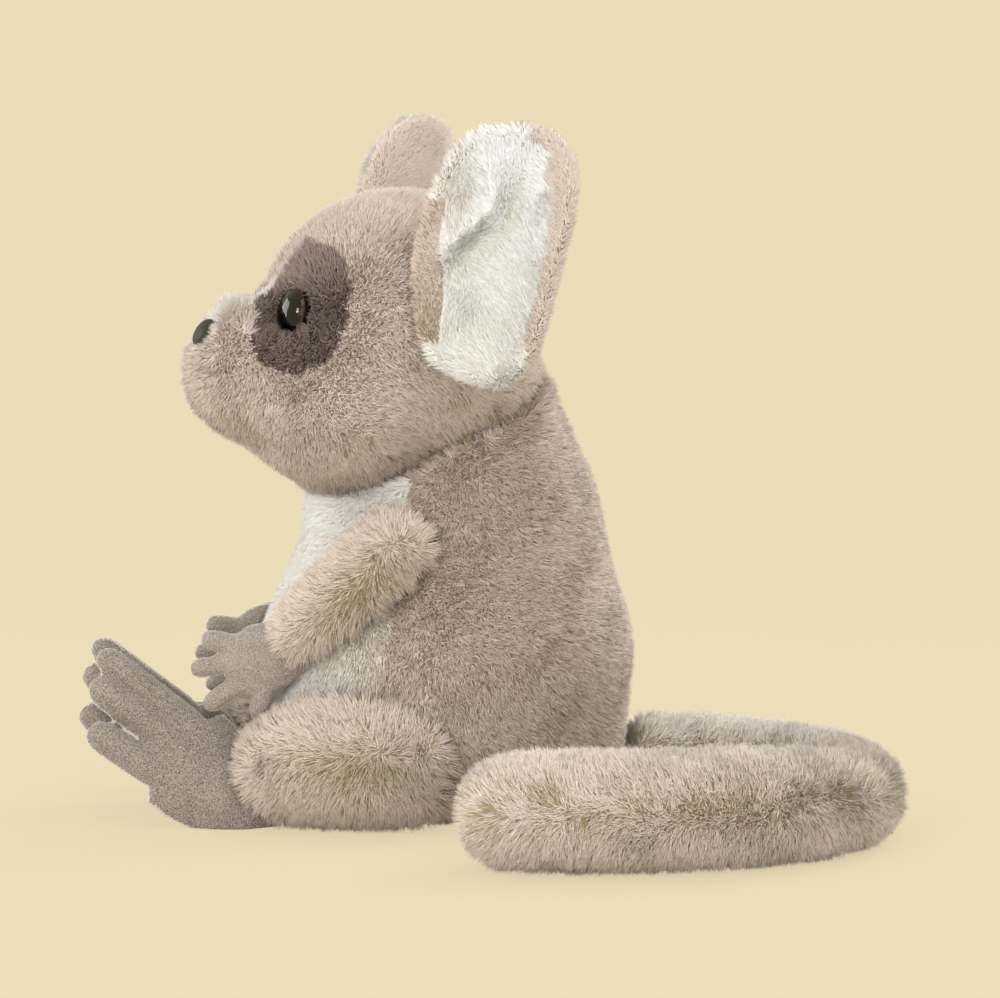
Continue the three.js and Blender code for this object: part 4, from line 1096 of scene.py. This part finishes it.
def turned(name, middle, outward, profile, widen=1.0):
    """A turned piece from (radius, height) points in mm, about the outward direction."""
    turn = Vector(outward).to_track_quat("Z", "Y").to_matrix()
    angles = np.linspace(0, 2 * math.pi, FACETS, endpoint=False)
    rings = [np.stack([radius * widen * np.cos(angles), radius * np.sin(angles),
                       np.full(FACETS, height)], axis=1) for radius, height in profile]
    points = np.vstack(rings) * MM @ np.array(turn).T + middle
    faces = []
    for row in range(len(profile) - 1):
        for k in range(FACETS):
            a, b = row * FACETS + k, row * FACETS + (k + 1) % FACETS
            faces += [(a, b, b + FACETS), (a, b + FACETS, a + FACETS)]
    faces = np.array(faces)
    corners = points[faces] - middle
    if np.einsum("ij,ij->i", corners[:, 0], np.cross(corners[:, 1], corners[:, 2])).sum() < 0:
        faces = faces[:, ::-1]
    return new_object(name, mesh_from(name, points, faces))


def quarter(radius, foot, rise, steps=12):
    """A quarter of an ellipse from its widest ring up to the axis, as (radius, height) points."""
    turns = [math.pi / 2 * i / steps for i in range(steps + 1)]
    return [(max(radius * math.cos(turn), AXIS), foot + rise * math.sin(turn)) for turn in turns]


def make_eye(side):
    """A safety eye: the painted base, and the clear dome over it."""
    middle, outward = eye_frame(side)
    profile = [(AXIS, -EYE_BASE_DEPTH), (EYE_RADIUS - 0.3, -EYE_BASE_DEPTH), (EYE_RADIUS - 0.2, -0.6),
               (EYE_RADIUS * 0.85, 0.1), (EYE_RADIUS * 0.5, 0.45), (AXIS, 0.55)]
    base = turned("eye_painted_base_" + side, middle, outward, profile)
    iris = painted_iris("painted_iris_" + side, tuple(middle), EYE_RADIUS * MM, PUPIL_SHARE)
    base.data.materials.append(iris)
    dress(base, "head", "dark_iris_plastic", "eye_base_" + side)
    profile = [(AXIS, -EYE_DOME_DEPTH), (EYE_RADIUS - 0.2, -EYE_DOME_DEPTH),
               (EYE_RADIUS, 0.2 - EYE_DOME_DEPTH), (EYE_RADIUS, -2.0), (EYE_RADIUS, -1.0),
               *quarter(EYE_RADIUS, EYE_DOME_FOOT, EYE_RISE - EYE_DOME_FOOT)]
    cap = turned("eye_clear_dome_" + side, middle, outward, profile)
    cap.data.materials.append(acrylic)
    dress(cap, "head", "clear_eye_plastic", "eye_cap_" + side)


def make_nose():
    """The nose: one wide matt lens with a soft satin grain, sunk into the pile."""
    front, outward = nose_frame()
    back = -NOSE_HEIGHT - NOSE_RIM
    profile = [(AXIS, back), (NOSE_HALF_HEIGHT * 0.96, back),
               *quarter(NOSE_HALF_HEIGHT, -NOSE_HEIGHT, NOSE_HEIGHT)]
    button = turned("nose_lens", front - outward * NOSE_SUNK * MM, outward, profile, NOSE_WIDENING)
    button.data.materials.append(satin_moulding("moulded_nose_plastic", "#1d1d1a", 0.6, 0.05, 0.55))
    dress(button, "head", "nose_plastic", "nose_button")


def finish_hidden_nodes():
    """The washers inside the head keep their own solids, in plain moulded nylon."""
    nylon = satin_moulding("moulded_nylon", "#e8e8e2", 1.0, 0.03, 0.5)
    for node in ("nose_washer", "eye_washer_left", "eye_washer_right"):
        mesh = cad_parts[node].data
        mesh.materials.clear()
        mesh.materials.append(nylon)


# The studio


def direction_of(azimuth, height):
    """The direction at an azimuth and a height in degrees."""
    a, h = math.radians(azimuth), math.radians(height)
    return Vector((math.cos(h) * math.cos(a), math.cos(h) * math.sin(a), math.sin(h)))


def aim(piece, away, distance):
    """Sets a camera or lamp at a distance from the toy in a direction, looking back at it."""
    piece.location = VIEW_TARGET + away * distance
    piece.rotation_euler = away.to_track_quat("Z", "Y").to_euler()


def make_camera():
    """The camera at the photograph's viewing angle."""
    data = bpy.data.cameras.new("camera")
    data.sensor_width = SENSOR_WIDTH
    data.lens = VIEW_DISTANCE / (MM_PER_PIXEL * MM) / PICTURE_WIDTH * SENSOR_WIDTH
    camera = new_object("camera", data)
    aim(camera, direction_of(-VIEW_AZIMUTH, VIEW_HEIGHT), VIEW_DISTANCE)
    bpy.context.scene.camera = camera


def make_floor():
    """A wide plain floor that the toy sits on."""
    points = np.array([(-1, -1, 0), (1, -1, 0), (1, 1, 0), (-1, 1, 0)]) * FLOOR_REACH
    floor = new_object("floor", mesh_from("floor", points, np.array([(0, 1, 2), (0, 2, 3)])))
    floor.data.materials.append(paper_sweep("pale_paper_sweep"))


def make_lamp(name, azimuth, height, distance, size, power):
    """A soft square lamp aimed at the toy, from an azimuth and a height in degrees."""
    data = bpy.data.lights.new(name, "AREA")
    data.size = size
    data.energy = power
    aim(new_object(name, data), direction_of(azimuth, height), distance)


def make_light():
    """Soft studio light: an even pale surround, lamps above and in front, and two that light the rims."""
    world = bpy.data.worlds.new("studio")
    world.use_nodes = True
    world.node_tree.nodes.clear()
    tree = world.node_tree
    around = add_node(tree, "ShaderNodeBackground", Color=(1.0, 1.0, 1.0, 1.0), Strength=1.0)
    seen = add_node(tree, "ShaderNodeBackground", Color=linear(BACKDROP), Strength=1.0)
    mixed = add_node(tree, "ShaderNodeMixShader",
                     {0: background_rays(tree), 1: around.outputs[0], 2: seen.outputs[0]})
    output = add_node(tree, "ShaderNodeOutputWorld")
    tree.links.new(mixed.outputs[0], output.inputs["Surface"])
    bpy.context.scene.world = world
    make_lamp("top_lamp", azimuth=15, height=52, distance=1.6, size=0.8, power=4.0)
    make_lamp("front_lamp", azimuth=-38, height=20, distance=1.8, size=0.55, power=11.0)
    make_lamp("low_lamp", azimuth=-5, height=6, distance=2.2, size=1.8, power=9.0)
    make_lamp("back_lamp", azimuth=105, height=38, distance=1.8, size=0.9, power=13.0)
    make_lamp("rim_lamp", azimuth=-116, height=16, distance=1.8, size=0.9, power=9.0)


bpy.context.scene.view_settings.view_transform = "Standard"
hand_nap = suede("brushed_suede_hands", "#7c7167", "#aa9f94")
foot_nap = suede("brushed_suede_feet", "#62584f", "#a69a8f")
turned_seam = seam_thread("turned_suede_seam", "#bdb2a7")
acrylic = clear_acrylic("clear_acrylic")

make_camera()
make_floor()
make_light()
skins = {
    "torso": Skin("torso_skin", ["torso_back_panel", "torso_belly_panel", "torso_stuffing", "bean_bag"],
                  voxel=3, rounds=10, inset=2.8),
    "head": Skin("head_skin", ["head_left_panel", "head_right_panel", "eye_patch_left", "eye_patch_right",
                               "muzzle_stripe", "head_stuffing"], voxel=2, rounds=5, inset=2.9),
}
skins["torso"].meet(skins["head"], SEAM_REACH)
skins["head"].meet(skins["torso"], SEAM_REACH)
make_torso()
make_head()
make_nose()
for side in SIDES:
    make_eye(side)
    make_ear(side)
    make_limb("arm", side, "hand")
    make_limb("leg", side, "foot")
    make_mitt("hand", side, "arm_" + side)
    make_mitt("foot", side, "leg_" + side)
make_tail()
finish_hidden_nodes()
